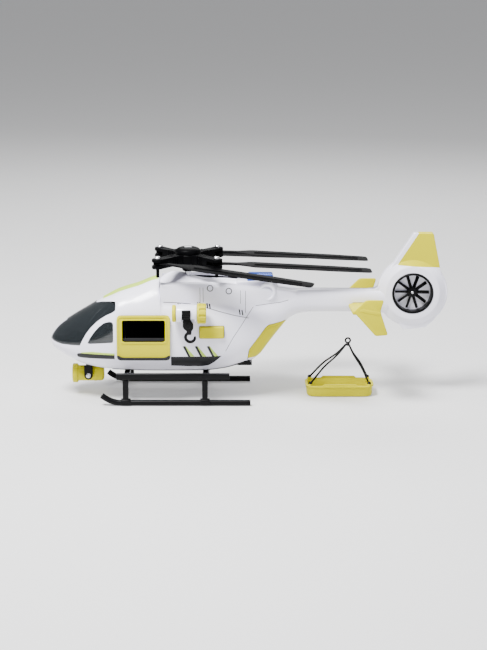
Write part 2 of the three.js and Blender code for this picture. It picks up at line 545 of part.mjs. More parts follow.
// Landing gear ------------------------------------------------------------------------------------
function crossTube(x) {
  const side = [
    [32, GEAR.barTop], [37, GEAR.stepZ0 - GAP], [GEAR.y + 2.4, GEAR.stepZ0 - GAP], [GEAR.y + 2.4, 6.4],
    [GEAR.y + 3.4, 5], [GEAR.y + 3.4, 1.6],
    [GEAR.y - 3.4, 1.6], [GEAR.y - 3.4, 5], [GEAR.y - 2.4, 6.4], [GEAR.y - 2.4, 18.6], [31, GEAR.barTop - 3.4],
  ];
  const outline = [...side, ...side.map(([y, z]) => [-y, z]).reverse()];
  const shape = new THREE.Shape(outline.map(([y, z]) => new THREE.Vector2(y, z)));
  const geometry = new THREE.ExtrudeGeometry(shape, { depth: 5, bevelEnabled: false });
  geometry.rotateX(Math.PI / 2).rotateZ(Math.PI / 2).translate(x - 2.5, 0, 0);
  const skids = [-1, 1].map((s) => bar([-150, s * GEAR.y, GEAR.skidZ], [20, s * GEAR.y, GEAR.skidZ], GEAR.skidR + GAP));
  const clamps = [-1, 1].map((s) => box(x - 4.4, x + 4.4, s * GEAR.y - 3.4, s * GEAR.y + 3.4, 1.6, 6));
  return union(solid(geometry), ...clamps).subtract(union(...skids));
}

function tube(points, radius, steps, sides = 10) {
  const path = new THREE.CatmullRomCurve3(points.map((point) => new THREE.Vector3(...point)));
  const ring = Array.from({ length: sides }, (_, i) => (i / sides) * 2 * Math.PI);
  const shape = new THREE.Shape(ring.map((angle) => new THREE.Vector2(radius * Math.cos(angle), radius * Math.sin(angle))));
  return solid(new THREE.ExtrudeGeometry(shape, { steps, extrudePath: path, bevelEnabled: false }));
}

function skid(side) {
  const y = side * GEAR.y;
  const r = GEAR.skidR;
  const [x, z] = [GEAR.x0, GEAR.skidZ];
  const straight = bar([x + 14, y, z], [GEAR.x1, y, z], r, r, 16);
  const toe = [[x + 14.4, y, z], [x + 10, y, z + 0.2], [x + 4, y, z + 2.1], [x, y, z + 4.6], [x - 2.2, y, z + 7.2]];
  return straight.add(tube(toe, r - 0.05, 8, 16)).subtract(box(x - 10, GEAR.x1 + 1, y - 5, y + 5, -5, 0));
}

for (const side of [-1, 1]) {
  const name = side < 0 ? "left" : "right";
  const y = side * GEAR.y;
  piece(`skid_${name}`, skid(side), BLACK);
  piece(`step_${name}`, box(-118, -17, y - 2.6, y + 2.6, GEAR.stepZ0, GEAR.stepZ1), BLACK);
}
piece("cross_tube_front", crossTube(GEAR.legX[0]), BLACK);
piece("cross_tube_rear", crossTube(GEAR.legX[1]), BLACK);

// Main rotor --------------------------------------------------------------------------------------
// Angle of each arm and of its folded blade, in degrees from +X.
const ARMS = [
  { name: "front_left", arm: 225, folded: -15 },
  { name: "front_right", arm: 135, folded: 15 },
  { name: "rear_left", arm: 315, folded: 10 },
  { name: "rear_right", arm: 45, folded: 10 },
];
const FORK = { slot: 3.4, halfWidth: 5.2, height: 8.8 };
const pivotOf = (arm) => {
  const angle = (arm * Math.PI) / 180;
  return [MAST.x + BLADE.pivotR * Math.cos(angle), BLADE.pivotR * Math.sin(angle), MAST.armZ];
};

function rotorHub() {
  const profile = [[0, 115.3], [5, 115.3], [6, 118], [7.5, 121], [MAST.hubR, 122.6], [MAST.hubR, 131.2], [0, 131.2]];
  let hub = turned(profile, 20);
  for (const { arm } of ARMS) {
    const reach = new THREE.BoxGeometry(BLADE.pivotR - 6, FORK.halfWidth * 2, FORK.height);
    reach.translate((BLADE.pivotR + 6) / 2, 0, 0);
    const eye = new THREE.CylinderGeometry(FORK.halfWidth, FORK.halfWidth, FORK.height, 14).rotateX(Math.PI / 2);
    eye.translate(BLADE.pivotR, 0, 0);
    const slot = new THREE.BoxGeometry(20, 12, FORK.slot).translate(BLADE.pivotR + 1, 0, 0);
    const bore = new THREE.CylinderGeometry(1.8, 1.8, 20, 10).rotateX(Math.PI / 2).translate(BLADE.pivotR, 0, 0);
    const placed = (geometry) => solid(geometry.rotateZ((arm * Math.PI) / 180).translate(0, 0, MAST.armZ));
    hub = hub.add(placed(reach).add(placed(eye)).subtract(placed(slot)).subtract(placed(bore)));
  }
  return hub.subtract(bar([0, 0, 110], [0, 0, 140], MAST.r + GAP));
}

function blade() {
  const root = 4;
  const planform = [];
  for (let i = 0; i <= 8; i++) {
    const angle = Math.PI / 2 + (i / 8) * Math.PI;
    planform.push([root * Math.cos(angle), root * Math.sin(angle)]);
  }
  const [chord, tip] = [BLADE.chord / 2, BLADE.length];
  planform.push([BLADE.cuff - 4, -3.4], [BLADE.cuff + 8, -chord], [tip - 4, -chord], [tip, -chord + 4]);
  planform.push([tip, chord - 4], [tip - 4, chord], [BLADE.cuff + 8, chord], [BLADE.cuff - 4, 3.4]);
  const [t, bend] = [BLADE.thick / 2, 8];
  const drop = (tip - bend) * Math.tan((BLADE.droop * Math.PI) / 180);
  const profile = [[-6, -t], [bend, -t], [tip, -t - drop], [tip, t - drop], [bend, t], [-6, t]];
  return planPlate(planform, -30, 10).intersect(sidePlate(profile, -20, 20)).subtract(bar([0, 0, -5], [0, 0, 5], 1.75));
}

piece("rotor_mast", bar([MAST.x, 0, 100], [MAST.x, 0, 131], MAST.r), STEEL);
piece("rotor_hub", rotorHub(), BLACK).position.x = MAST.x;
const dome = [[0, 131.5], [MAST.hubR, 131.5], [MAST.hubR, 134.2], [MAST.hubR - 1.8, 136.4], [MAST.hubR - 5, MAST.hubTop]];
piece("rotor_cap", turned([...dome, [0, MAST.hubTop]], 20), BLACK).position.x = MAST.x;
for (const { name, arm, folded } of ARMS) {
  const pivot = pivotOf(arm);
  const bladeMesh = piece(`blade_${name}`, blade(), BLACK);
  bladeMesh.position.set(...pivot);
  bladeMesh.rotation.z = (folded * Math.PI) / 180;
  const bolt = bar([0, 0, -12.5], [0, 0, 5.2], 1.5, 1.5, 10).add(bar([0, 0, 5], [0, 0, 6.6], 2.6, 2.6, 10));
  piece(`blade_bolt_${name}`, bolt, STEEL).position.set(...pivot);
}

// Tail fan ----------------------------------------------------------------------------------------
const alongFan = (y0, y1, r, sides = 16) => bar([FAN.x, y0, FAN.z], [FAN.x, y1, FAN.z], r, r, sides);

function fanLiner() {
  let liner = alongFan(-FAN.halfDepth - 0.4, FAN.halfDepth + 0.4, FAN.r + 0.8, 30).subtract(alongFan(-20, 20, FAN.r - 1.2, 30));
  liner = liner.add(alongFan(3, 6.5, 4.6));
  for (const turn of [0, 120, 240]) {
    const vane = new THREE.BoxGeometry(FAN.r - 3, 2.4, 1.4).translate((FAN.r + 3) / 2, 0, 0);
    vane.rotateY((-turn * Math.PI) / 180).translate(FAN.x, 4.75, FAN.z);
    liner = liner.add(solid(vane));
  }
  return liner.subtract(alongFan(-20, 20, 1.5, 12));
}

function fanRotor() {
  let rotor = alongFan(-4.5, 2.5, 4.6);
  const blades = 10;
  for (let i = 0; i < blades; i++) {
    const vane = new THREE.BoxGeometry(11.6, 4.4, 1.1).translate(9.8, 0, 0).rotateX(0.6);
    vane.rotateY((i / blades) * 2 * Math.PI).translate(FAN.x, -1, FAN.z);
    rotor = rotor.add(solid(vane));
  }
  return rotor.subtract(alongFan(-20, 20, 1.5, 12));
}

piece("fan_liner", fanLiner(), BLACK);
piece("tail_fan", fanRotor(), BLACK);
piece("tail_fan_axle", alongFan(-5.2, 6.5, 1.2, 12), STEEL);

// Stabiliser --------------------------------------------------------------------------------------
function stabiliser() {
  const { x0, x1, z, span, thick } = STABILISER;
  const tip = span / 2;
  const planform = [
    [x0 + 4.4, -9], [x0 + 4.4, 9], [x0, 13.5], [x0 + 2, tip], [x1, tip], [x1, 13.5], [x1 - 4.4, 9], [x1 - 4.4, -9],
    [x1, -13.5], [x1, -tip], [x0 + 2, -tip], [x0, -13.5],
  ];
  const plate = [[x0 + 2.7, 87.5], [112.3, 65.6], [123.3, 66.6], [116.2, 87.9], [119.2, 98.1], [103.5, 98.1]];
  const wing = planPlate(planform.reverse(), z - thick / 2, z + thick / 2);
  return union(wing, sidePlate(plate, -tip - 1.3, -tip + 1.3), sidePlate(plate, tip - 1.3, tip + 1.3));
}

piece("stabiliser", stabiliser(), YELLOW);

// Stretcher ---------------------------------------------------------------------------------------
function stretcherTub() {
  const { x0, x1, y0, y1, height } = STRETCHER;
  const outer = planPlate(roundedRectangle(x0, x1, y0, y1, 9), 0, height);
  return outer.subtract(planPlate(roundedRectangle(x0 + 2, x1 - 2, y0 + 2, y1 - 2, 7.5), 2, height + 1));
}

function stretcherHarness() {
  const { x0, x1, y0, y1, height, apexZ } = STRETCHER;
  const [apexX, apexY] = [90.8, (y0 + y1) / 2];
  const legs = [[x0 + 4, y0 + 3.5], [x0 + 4, y1 - 3.5], [x1 - 4, y0 + 3.5], [x1 - 4, y1 - 3.5]].map(([x, y]) => {
    const knee = [apexX + (x - apexX) * 0.28, apexY + (y - apexY) * 0.28, apexZ - 16];
    return tube([[x, y, height + 0.9], [(x + knee[0]) / 2, (y + knee[1]) / 2, 27], knee, [apexX, apexY, apexZ - 6]], 0.9, 5, 5);
  });
  const ring = solid(new THREE.TorusGeometry(2.2, 0.9, 6, 12).rotateX(Math.PI / 2).translate(apexX, apexY, apexZ - 3.4));
  return union(...legs, ring);
}

piece("stretcher_tub", stretcherTub(), YELLOW);
piece("stretcher_harness", stretcherHarness(), BLACK);

export default helicopter;
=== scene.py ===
"""Looks of the toy rescue helicopter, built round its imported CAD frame.

Lengths in this file are in millimetres until mesh() writes them in metres.
+X runs from the nose to the tail, -Y is the port side, +Z is up.
"""

import json
import math

import bmesh
import bpy
import numpy as np
from mathutils import Matrix, Vector

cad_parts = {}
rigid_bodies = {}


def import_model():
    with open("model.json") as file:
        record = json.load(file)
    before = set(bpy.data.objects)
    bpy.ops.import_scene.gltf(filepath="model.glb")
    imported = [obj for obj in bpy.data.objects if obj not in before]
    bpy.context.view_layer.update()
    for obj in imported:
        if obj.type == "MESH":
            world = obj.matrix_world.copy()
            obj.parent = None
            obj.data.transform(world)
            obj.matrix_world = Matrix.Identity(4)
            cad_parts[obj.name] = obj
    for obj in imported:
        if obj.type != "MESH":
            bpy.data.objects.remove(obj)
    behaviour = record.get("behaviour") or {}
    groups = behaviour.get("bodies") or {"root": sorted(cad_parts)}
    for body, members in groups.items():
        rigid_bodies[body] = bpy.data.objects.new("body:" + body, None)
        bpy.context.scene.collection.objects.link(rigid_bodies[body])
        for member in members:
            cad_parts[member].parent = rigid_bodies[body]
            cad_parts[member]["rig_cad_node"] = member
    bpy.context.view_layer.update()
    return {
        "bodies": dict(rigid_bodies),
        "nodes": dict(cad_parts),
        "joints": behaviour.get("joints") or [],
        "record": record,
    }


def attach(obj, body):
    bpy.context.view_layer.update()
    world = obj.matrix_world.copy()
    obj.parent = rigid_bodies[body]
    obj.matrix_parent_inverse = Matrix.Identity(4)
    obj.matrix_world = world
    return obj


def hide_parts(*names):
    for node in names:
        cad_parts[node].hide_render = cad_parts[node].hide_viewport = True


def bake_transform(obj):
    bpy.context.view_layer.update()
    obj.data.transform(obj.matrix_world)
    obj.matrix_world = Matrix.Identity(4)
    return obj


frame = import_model()
MM = 0.001

# Mesh helpers ------------------------------------------------------------


def show(name, data):
    """A new object in the scene, round its data."""
    obj = bpy.data.objects.new(name, data)
    bpy.context.scene.collection.objects.link(obj)
    return obj


def duplicate(obj):
    """A copy of an object with a mesh of its own."""
    copy = obj.copy()
    copy.data = obj.data.copy()
    bpy.context.scene.collection.objects.link(copy)
    return copy


def mesh(name, vertices, faces):
    """A new object from vertices in millimetres."""
    data = bpy.data.meshes.new(name)
    data.from_pydata([tuple(c * MM for c in v) for v in vertices], [], faces)
    data.validate()
    return show(name, data)


def around(count):
    """Angles that divide a full turn evenly."""
    return np.linspace(0, 2 * math.pi, count, endpoint=False)


def arc_length(a, b):
    """Distance along a curve to each of its points, from their two coordinates."""
    return np.concatenate([[0], np.cumsum(np.hypot(np.diff(a), np.diff(b)))])


def mirror_rows(rows):
    """Points followed by their mirror images, in reverse, with the second number negated."""
    return rows + [(a, -b) for a, b in reversed(rows)]


def finish_normals(obj, angle=32):
    """Outward normals, smooth faces, and sharp edges where the surface turns more than angle."""
    bm = bmesh.new()
    bm.from_mesh(obj.data)
    bmesh.ops.remove_doubles(bm, verts=bm.verts, dist=1e-7)
    bmesh.ops.dissolve_degenerate(bm, edges=bm.edges, dist=1e-7)
    bmesh.ops.recalc_face_normals(bm, faces=bm.faces)
    limit = math.radians(angle)
    for face in bm.faces:
        face.smooth = True
    for edge in bm.edges:
        edge.smooth = len(edge.link_faces) == 2 and edge.calc_face_angle(0) < limit
    bm.to_mesh(obj.data)
    bm.free()


def outward(obj):
    """Turns a closed body inside out if its volume is negative."""
    bm = bmesh.new()
    bm.from_mesh(obj.data)
    if bm.calc_volume(signed=True) < 0:
        bmesh.ops.reverse_faces(bm, faces=bm.faces)
        bm.to_mesh(obj.data)
    bm.free()


def rings_solid(name, rings, closed=False):
    """A closed body through rings of equal point counts, capped at both ends unless it closes on itself."""
    rings = np.asarray(rings, float)
    count, points = rings.shape[:2]
    faces = []
    for r in range(count if closed else count - 1):
        s = (r + 1) % count
        for i in range(points):
            j = (i + 1) % points
            faces.append((r * points + i, r * points + j, s * points + j, s * points + i))
    if not closed:
        faces.append(tuple(reversed(range(points))))
        faces.append(tuple(range((count - 1) * points, count * points)))
    obj = mesh(name, rings.reshape(-1, 3), faces)
    outward(obj)
    return obj


def prism(name, outline, low, high, axis="y"):
    """An outline pushed from low to high along an axis: [x, z] points for y, [x, y] for z, [y, z] for x."""
    orders = {"y": lambda a, b, t: (a, t, b), "z": lambda a, b, t: (a, b, t), "x": lambda a, b, t: (t, a, b)}
    rings = [[orders[axis](a, b, t) for a, b in outline] for t in (low, high)]
    obj = rings_solid(name, rings)
    finish_normals(obj)
    return obj


def through(name, outline):
    """A side-view outline pushed right through the toy."""
    return prism(name, outline, -BEYOND, BEYOND)


def block(name, low, high):
    """A box between two corners."""
    (x0, y0, z0), (x1, y1, z1) = low, high
    return prism(name, [(x0, y0), (x1, y0), (x1, y1), (x0, y1)], z0, z1, "z")


def lathe(name, profile, centre, axis, sides=64):
    """A profile of (radius, place along axis) turned round a line through centre.
    It starts and ends on the axis, or closes on itself."""
    along = {"x": 0, "y": 1, "z": 2}[axis]
    u, v = [i for i in range(3) if i != along]
    on_axis = profile[0][0] < 1e-6
    rings = []
    angles = around(sides)
    for radius, distance in profile:
        ring = np.zeros((sides, 3))
        ring[:, u] = centre[u] + max(radius, 1e-3) * np.cos(angles)
        ring[:, v] = centre[v] + max(radius, 1e-3) * np.sin(angles)
        ring[:, along] = centre[along] + distance
        rings.append(ring)
    obj = rings_solid(name, rings, closed=not on_axis)
    finish_normals(obj)
    return obj


def rod(name, radius, low, high, centre, axis, sides):
    """A plain cylinder between two places along an axis."""
    return lathe(name, [(0, low), (radius, low), (radius, high), (0, high)], centre, axis, sides)


def pipe(name, path, radius, sides=20, flat=1.0):
    """A round bar along a smooth curve through path. flat squeezes it, and radius may vary along it."""
    points = spline(path, 8 if len(path) > 2 else 1)
    known = np.linspace(0, 1, np.size(radius))
    radii = np.interp(np.linspace(0, 1, len(points)), known, np.atleast_1d(radius))
    tangents = np.gradient(points, axis=0)
    side = np.array([0.0, 1.0, 0.0])
    if abs(tangents[0] @ side) > 0.9 * np.linalg.norm(tangents[0]):
        side = np.array([1.0, 0.0, 0.0])
    rings = []
    for point, tangent, r in zip(points, tangents, radii):
        tangent = tangent / np.linalg.norm(tangent)
        side = side - (side @ tangent) * tangent
        side /= np.linalg.norm(side)
        up = np.cross(tangent, side)
        angles = around(sides)[:, None]
        rings.append(point + r * (flat * np.cos(angles) * side + np.sin(angles) * up))
    obj = rings_solid(name, rings)
    finish_normals(obj)
    return obj


def spline(path, steps):
    """A Catmull-Rom curve through the points of path."""
    p = np.asarray(path, float)
    p = np.vstack([2 * p[0] - p[1], p, 2 * p[-1] - p[-2]])
    t = np.linspace(0, 1, steps, endpoint=False)[:, None]
    out = []
    for a, b, c, d in zip(p, p[1:], p[2:], p[3:]):
        square, cube = 2 * a - 5 * b + 4 * c - d, 3 * b - a - 3 * c + d
        out.append(0.5 * (2 * b + (c - a) * t + square * t**2 + cube * t**3))
    out.append(p[-2][None])
    return np.vstack(out)


def rounded(points, radius, steps=6):
    """A polygon with every corner rounded. radius is one number, or one for each corner."""
    points = [np.array(p, float) for p in points]
    radii = np.broadcast_to(radius, len(points))
    out = []
    for i, corner in enumerate(points):
        before, after = points[i - 1], points[(i + 1) % len(points)]
        u, v = before - corner, after - corner
        lengths = np.linalg.norm(u), np.linalg.norm(v)
        u, v = u / lengths[0], v / lengths[1]
        half_angle = math.acos(np.clip(u @ v, -1, 1)) / 2
        reach = min(radii[i] / math.tan(half_angle), 0.48 * min(lengths))
        start, end = corner + u * reach, corner + v * reach
        for t in np.linspace(0, 1, steps):
            out.append((1 - t) ** 2 * start + 2 * t * (1 - t) * corner + t**2 * end)
    return [tuple(p) for p in out]


def oblong(x0, x1, z0, z1, radius, steps=6):
    """A rectangle with round corners."""
    return rounded([(x0, z0), (x1, z0), (x1, z1), (x0, z1)], radius, steps)


def combine(obj, other, how):
    """obj becomes its union, difference or intersection with other, which is used up."""
    modifier = obj.modifiers.new("cut", "BOOLEAN")
    modifier.operation = how
    modifier.object = other
    modifier.solver = "EXACT"
    bpy.context.view_layer.update()
    evaluated = obj.evaluated_get(bpy.context.evaluated_depsgraph_get())
    data = bpy.data.meshes.new_from_object(evaluated)
    obj.modifiers.clear()
    old = obj.data
    obj.data = data
    bpy.data.meshes.remove(old)
    bpy.data.objects.remove(other)
    return obj


def cut(obj, *others):
    """obj without the others."""
    for other in others:
        combine(obj, other, "DIFFERENCE")
    return obj


def add(obj, *others):
    """obj with the others joined on."""
    for other in others:
        combine(obj, other, "UNION")
    return obj


def keep(obj, *others):
    """What obj has in common with the others."""
    for other in others:
        combine(obj, other, "INTERSECT")
    return obj


def join(name, *objects):
    """Separate bodies as one object."""
    bm = bmesh.new()
    for obj in objects:
        bm.from_mesh(obj.data)
        bpy.data.objects.remove(obj)
    data = bpy.data.meshes.new(name)
    bm.to_mesh(data)
    bm.free()
    return show(name, data)


def soften(obj, width, segments=3, angle=30):
    """Rounded edges, applied at once."""
    bm = bmesh.new()
    bm.from_mesh(obj.data)
    bmesh.ops.remove_doubles(bm, verts=bm.verts, dist=1e-7)
    bmesh.ops.recalc_face_normals(bm, faces=bm.faces)
    sharp = [e for e in bm.edges if len(e.link_faces) == 2 and e.calc_face_angle(0) > math.radians(angle)]
    bmesh.ops.bevel(
        bm, geom=sharp, offset=width * MM, segments=segments, profile=0.5, affect="EDGES", clamp_overlap=True
    )
    bm.to_mesh(obj.data)
    bm.free()
    finish_normals(obj)
    return obj


def turn(obj, angle, axis):
    """Turns the vertices themselves about the origin, so the object's own place stays the same."""
    obj.data.transform(Matrix.Rotation(math.radians(angle), 4, axis))
    return obj


def move(obj, x, y, z):
    """Moves the vertices themselves."""
    obj.data.transform(Matrix.Translation((x * MM, y * MM, z * MM)))
    return obj


def place(obj, body, material, *nodes, slot=None, inner=None):
    """Gives a finished piece its material, the body it rides on, and the CAD nodes it stands for.
    Faces with material index 1 take the inner material where there is one; on the doors that is painted shade."""
    finish_normals(obj)
    marks = [polygon.material_index for polygon in obj.data.polygons] if inner else None
    obj.data.materials.clear()
    obj.data.materials.append(material)
    if inner:
        obj.data.materials.append(inner)
        obj.data.polygons.foreach_set("material_index", marks)
    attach(obj, body)
    if nodes:
        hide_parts(*nodes)
    return obj


# Materials ------------------------------------------------------------


class Shader:
    """A node material with one Principled shader, fine moulding texture and slight colour variation."""

    def __init__(
        self, name, colour, roughness, coat=0.0, metallic=0.0, variation=0.03, grain=0.02, scale=900,
        specular=0.45,
    ):
        self.material = bpy.data.materials.new(name)
        self.material.use_nodes = True
        self.tree = self.material.node_tree
        self.link = self.tree.links.new
        self.shader = self.tree.nodes["Principled BSDF"]
        self.shader.inputs["Metallic"].default_value = metallic
        self.shader.inputs["Coat Weight"].default_value = coat
        self.shader.inputs["Coat Roughness"].default_value = 0.08
        self.shader.inputs["Specular IOR Level"].default_value = specular
        place_on = self.node("ShaderNodeTexCoord").outputs["Object"]
        mottle = self.node("ShaderNodeTexNoise", Scale=22.0, Detail=3.0)
        self.link(place_on, mottle.inputs["Vector"])
        noise = mottle.outputs["Fac"]
        shade = tuple(c * (1 - variation) for c in colour)
        light = tuple(min(c * (1 + variation), 1) for c in colour)
        self.link(self.mix(noise, shade, light), self.shader.inputs["Base Color"])
        rough = self.node("ShaderNodeMapRange", **{"To Min": roughness * 0.85, "To Max": roughness * 1.15})
        self.link(noise, rough.inputs["Value"])
        self.link(rough.outputs["Result"], self.shader.inputs["Roughness"])
        if grain:
            fine = self.node("ShaderNodeTexNoise", Scale=float(scale), Detail=2.0)
            self.link(place_on, fine.inputs["Vector"])
            bump = self.node("ShaderNodeBump", Strength=grain, Distance=0.0002)
            self.link(fine.outputs["Fac"], bump.inputs["Height"])
            self.link(bump.outputs["Normal"], self.shader.inputs["Normal"])

    def node(self, kind, **values):
        """A new node with these values on its inputs."""
        made = self.tree.nodes.new(kind)
        for key, value in values.items():
            made.inputs[key].default_value = value
        return made

    def mix(self, factor, a, b):
        """A colour between a and b."""
        made = self.tree.nodes.new("ShaderNodeMix")
        made.data_type = "RGBA"
        self.link(factor, made.inputs["Factor"])
        made.inputs[6].default_value = (*a, 1)
        made.inputs[7].default_value = (*b, 1)
        return made.outputs[2]


WHITE = (0.83, 0.82, 0.92)
YELLOW = (0.54, 0.49, 0.0)
LIME = (0.46, 0.64, 0.06)
INK = (0.012, 0.012, 0.014)
BLACK = (0.003, 0.003, 0.0034)
DEEP_BLACK = (0.0015, 0.0015, 0.0018)
DARK = (0.008, 0.008, 0.009)


def clear(name, tint, alpha, roughness=0.03):
    """Thin clear plastic: a glossy skin over what is behind it, tinted by its alpha."""
    made = Shader(name, tint, roughness, coat=0.6, variation=0.02, grain=0.0, specular=0.6)
    made.shader.inputs["Alpha"].default_value = alpha
    return made.material


# Fuselage surface ------------------------------------------------------------

WALL = 2.0  # of the moulding
# Station x, low z, high z, half width, z of the widest line, exponent above it, exponent below it.
SECTIONS = np.array([
    [-180, 51.7, 52.3, 0.4, 52, 2, 2],
    [-177.5, 45.4, 58.5, 9, 51.6, 2, 2],
    [-171, 41.0, 66.3, 16.5, 50.6, 2, 2],
    [-161, 35.6, 73.4, 23, 49.6, 2.1, 2.2],
    [-149, 30.4, 80.6, 27.8, 49.4, 2.2, 2.4],
    [-137, 28.0, 87.5, 30.8, 50, 2.35, 2.6],
    [-126, 26.8, 93.3, 32.8, 51.5, 2.6, 2.8],
    [-117, 26.3, 97.5, 34, 54, 3, 2.8],
    [-100, 25.5, 103.2, 34, 54, 2.55, 2.8],
    [-80.5, 25.3, 109.9, 34, 54, 2.3, 2.8],
    [-77, 25.3, 96.5, 34, 54, 3, 2.8],
    [-40, 25.6, 95.5, 34, 54, 3, 2.8],
    [-24, 27.2, 95, 33, 56, 3, 2.8],
    [-10, 30, 94.5, 30.5, 58, 2.8, 2.6],
    [3, 33.5, 94.5, 27, 62, 2.6, 2.4],
    [10, 38.5, 95, 25, 66, 2.4, 2.2],
    [18, 49, 96, 22, 72, 2.3, 2.2],
    [28, 62, 97.5, 18.2, 79, 2.2, 2.2],
    [38, 73, 98.6, 15, 85, 2.2, 2.2],
    [48, 76.8, 99, 12.5, 87.5, 2.3, 2.3],
    [62, 77.8, 99, 11, 88.3, 2.4, 2.4],
    [92, 77.6, 98.8, 9.6, 88.2, 2.4, 2.4],
    [126, 76.8, 98.6, 8, 87.8, 2.4, 2.4],
])
# Station x, half width, top z of the upright-sided cowl round the engine deck.
COWL = np.array([
    [-79, 25, 108.8],
    [-66, 25.2, 109.6],
    [-50, 25.2, 110.0],
    [-36, 25, 109.8],
    [-24, 24.8, 109.3],
    [-12, 24, 108.0],
    [1, 22, 106.2],
    [12, 19.6, 104.8],
    [24, 16.5, 102.4],
    [42, 12, 98.6],
])
COWL_FOOT = 62  # height where the cowl's section starts, inside the body
FILLET = 2.0  # radius where the cowl meets the shoulder


def smooth_table(x, stations, values):
    """Values between stations on monotone cubics, which never overshoot."""
    step = np.diff(stations)
    slope = np.diff(values, axis=0) / step[:, None]
    tangent = np.zeros_like(values)
    tangent[0], tangent[-1] = slope[0], slope[-1]
    a, b = slope[:-1], slope[1:]
    w1 = (2 * step[1:] + step[:-1])[:, None]
    w2 = (step[1:] + 2 * step[:-1])[:, None]
    same = a * b > 0
    safe_a, safe_b = np.where(same, a, 1), np.where(same, b, 1)
    tangent[1:-1] = np.where(same, (w1 + w2) / (w1 / safe_a + w2 / safe_b), 0)
    i = int(np.clip(np.searchsorted(stations, x) - 1, 0, len(stations) - 2))
    t = float(np.clip((x - stations[i]) / step[i], 0, 1))
    h = step[i]
    return (
        (2 * t**3 - 3 * t**2 + 1) * values[i]
        + (t**3 - 2 * t**2 + t) * h * tangent[i]
        + (3 * t**2 - 2 * t**3) * values[i + 1]
        + (t**3 - t**2) * h * tangent[i + 1]
    )


NOSE = SECTIONS[0, 0]
NOSE_WARP = np.sqrt(SECTIONS[:, 0] - NOSE)
ANGLES = np.radians(np.linspace(-90, 90, 541))
COS, SIN = np.cos(ANGLES), np.sin(ANGLES)
REACHES = np.linspace(0, 62, 249)


def cowl_reach(x, grow, middle):
    """Distance from the point (0, middle) to the far side of the cowl, for each of ANGLES."""
    half_width, top = smooth_table(x, COWL[:, 0], COWL[:, 1:])
    foot = COWL_FOOT - grow
    half_height = (top + grow - foot) / 2
    y = np.abs(REACHES[None, :] * COS[:, None]) / (half_width + grow)
    z = np.abs(middle + REACHES[None, :] * SIN[:, None] - foot - half_height) / half_height
    level = y**8 + z**8
    inside = level <= 1
    last = inside.shape[1] - 1 - np.argmax(inside[:, ::-1], axis=1)
    rows = np.arange(len(ANGLES))
    after = np.minimum(last + 1, len(REACHES) - 1)
    rise = np.maximum(level[rows, after] - level[rows, last], 1e-9)
    share = np.clip((1 - level[rows, last]) / rise, 0, 1)
    return np.where(inside.any(axis=1), REACHES[last] + share * (REACHES[after] - REACHES[last]), 0)


def section_curve(x, grow=0.0):
    """Half the section at x from its lowest to its highest point, as |y| and z."""
    low, high, width, middle, up, down = smooth_table(math.sqrt(max(x - NOSE, 0)), NOSE_WARP, SECTIONS[:, 1:])
    height = np.maximum(np.where(SIN >= 0, high - middle, middle - low) + grow, 0.2)
    power = np.where(SIN >= 0, up, down)
    reach = ((COS / max(width + grow, 0.2)) ** power + (np.abs(SIN) / height) ** power) ** (-1 / power)
    if COWL[0, 0] < x < COWL[-1, 0]:
        other = cowl_reach(x, grow, middle)
        gap = np.maximum(FILLET - np.abs(reach - other), 0)
        reach = np.where(SIN > 0, np.maximum(reach, other) + gap**2 / (4 * FILLET), reach)
    return reach * COS, middle + reach * SIN


CURVES = {}


def side_y(x, z):
    """Half width of the fuselage skin at a station and height."""
    key = round(x * 4)
    if key not in CURVES:
        CURVES[key] = section_curve(key / 4)
    y, heights = CURVES[key]
    return float(np.interp(z, heights, y))


def loft(name, x0, x1, grow, full=False, points=90, steps=(3.0, 1.2)):
    """The fuselage skin between two stations: both halves, or the port half closed a little past the middle."""
    wide, close = steps
    stations = [x0]
    while stations[-1] < x1 - 1e-6:
        x = stations[-1]
        step = close if x < -172 or -84 < x < -74 else wide if x < 48 else 2 * wide
        stations.append(min(x + step, x1))
    front = COWL[0, 0]
    if x0 < front - 1 and x1 > front + 1:
        stations = sorted([x for x in stations if abs(x - front) > 0.3] + [front - 0.02, front + 0.02])
    rings = []
    for x in stations:
        y, z = section_curve(x, grow)
        arc = arc_length(y, z)
        even = np.linspace(0, arc[-1], points)
        y, z = np.interp(even, arc, y), np.interp(even, arc, z)
        port = np.column_stack([np.full(points, x), -y, z])
        if full:
            starboard = port[-2:0:-1] * [1, -1, 1]
            rings.append(np.vstack([port, starboard]))
        else:
            ends = port[[-1, 0]] * [1, 0, 1] + [0, 1.0, 0]
            rings.append(np.vstack([port, ends]))
    return rings_solid(name, rings)


def skin_between(name, x0, x1, outside, inside, full=True, face_materials=None):
    """A shell that follows the fuselage between two offsets. With two materials its inner face has index 1; the
    doors use this for painted shade.
    """
    outer = loft(name, x0, x1, outside, full)
    inner = loft("inside", x0 - 1, x1 + 1, inside, full)
    if face_materials:
        two_tone(outer, *face_materials)
        set_index(two_tone(inner, *face_materials), 1)
    return cut(outer, inner)


def groove_path(points, closed=False, step=2.0):
    """Points about step apart on the port skin, along a side-view line."""
    points = [np.array(p, float) for p in points]
    if closed:
        points.append(points[0])
    out = []
    for a, b in zip(points, points[1:]):
        count = max(int(np.linalg.norm(b - a) / step), 1)
        out += [a + (b - a) * i / count for i in range(count)]
    out.append(points[-1])
    return [(x, -side_y(x, z), z) for x, z in out]


def tube(name, path, radius, sides=6):
    """A bar of constant radius through exact points, without smoothing."""
    path = np.asarray(path, float)
    tangents = np.gradient(path, axis=0)
    rings = []
    for point, tangent in zip(path, tangents):
        tangent = tangent / np.linalg.norm(tangent)
        out = np.array([0.0, 1.0, 0.0]) - tangent[1] * tangent
        out /= np.linalg.norm(out)
        other = np.cross(tangent, out)
        angles = around(sides)[:, None]
        rings.append(point + radius * (np.cos(angles) * out + np.sin(angles) * other))
    return rings_solid(name, rings)


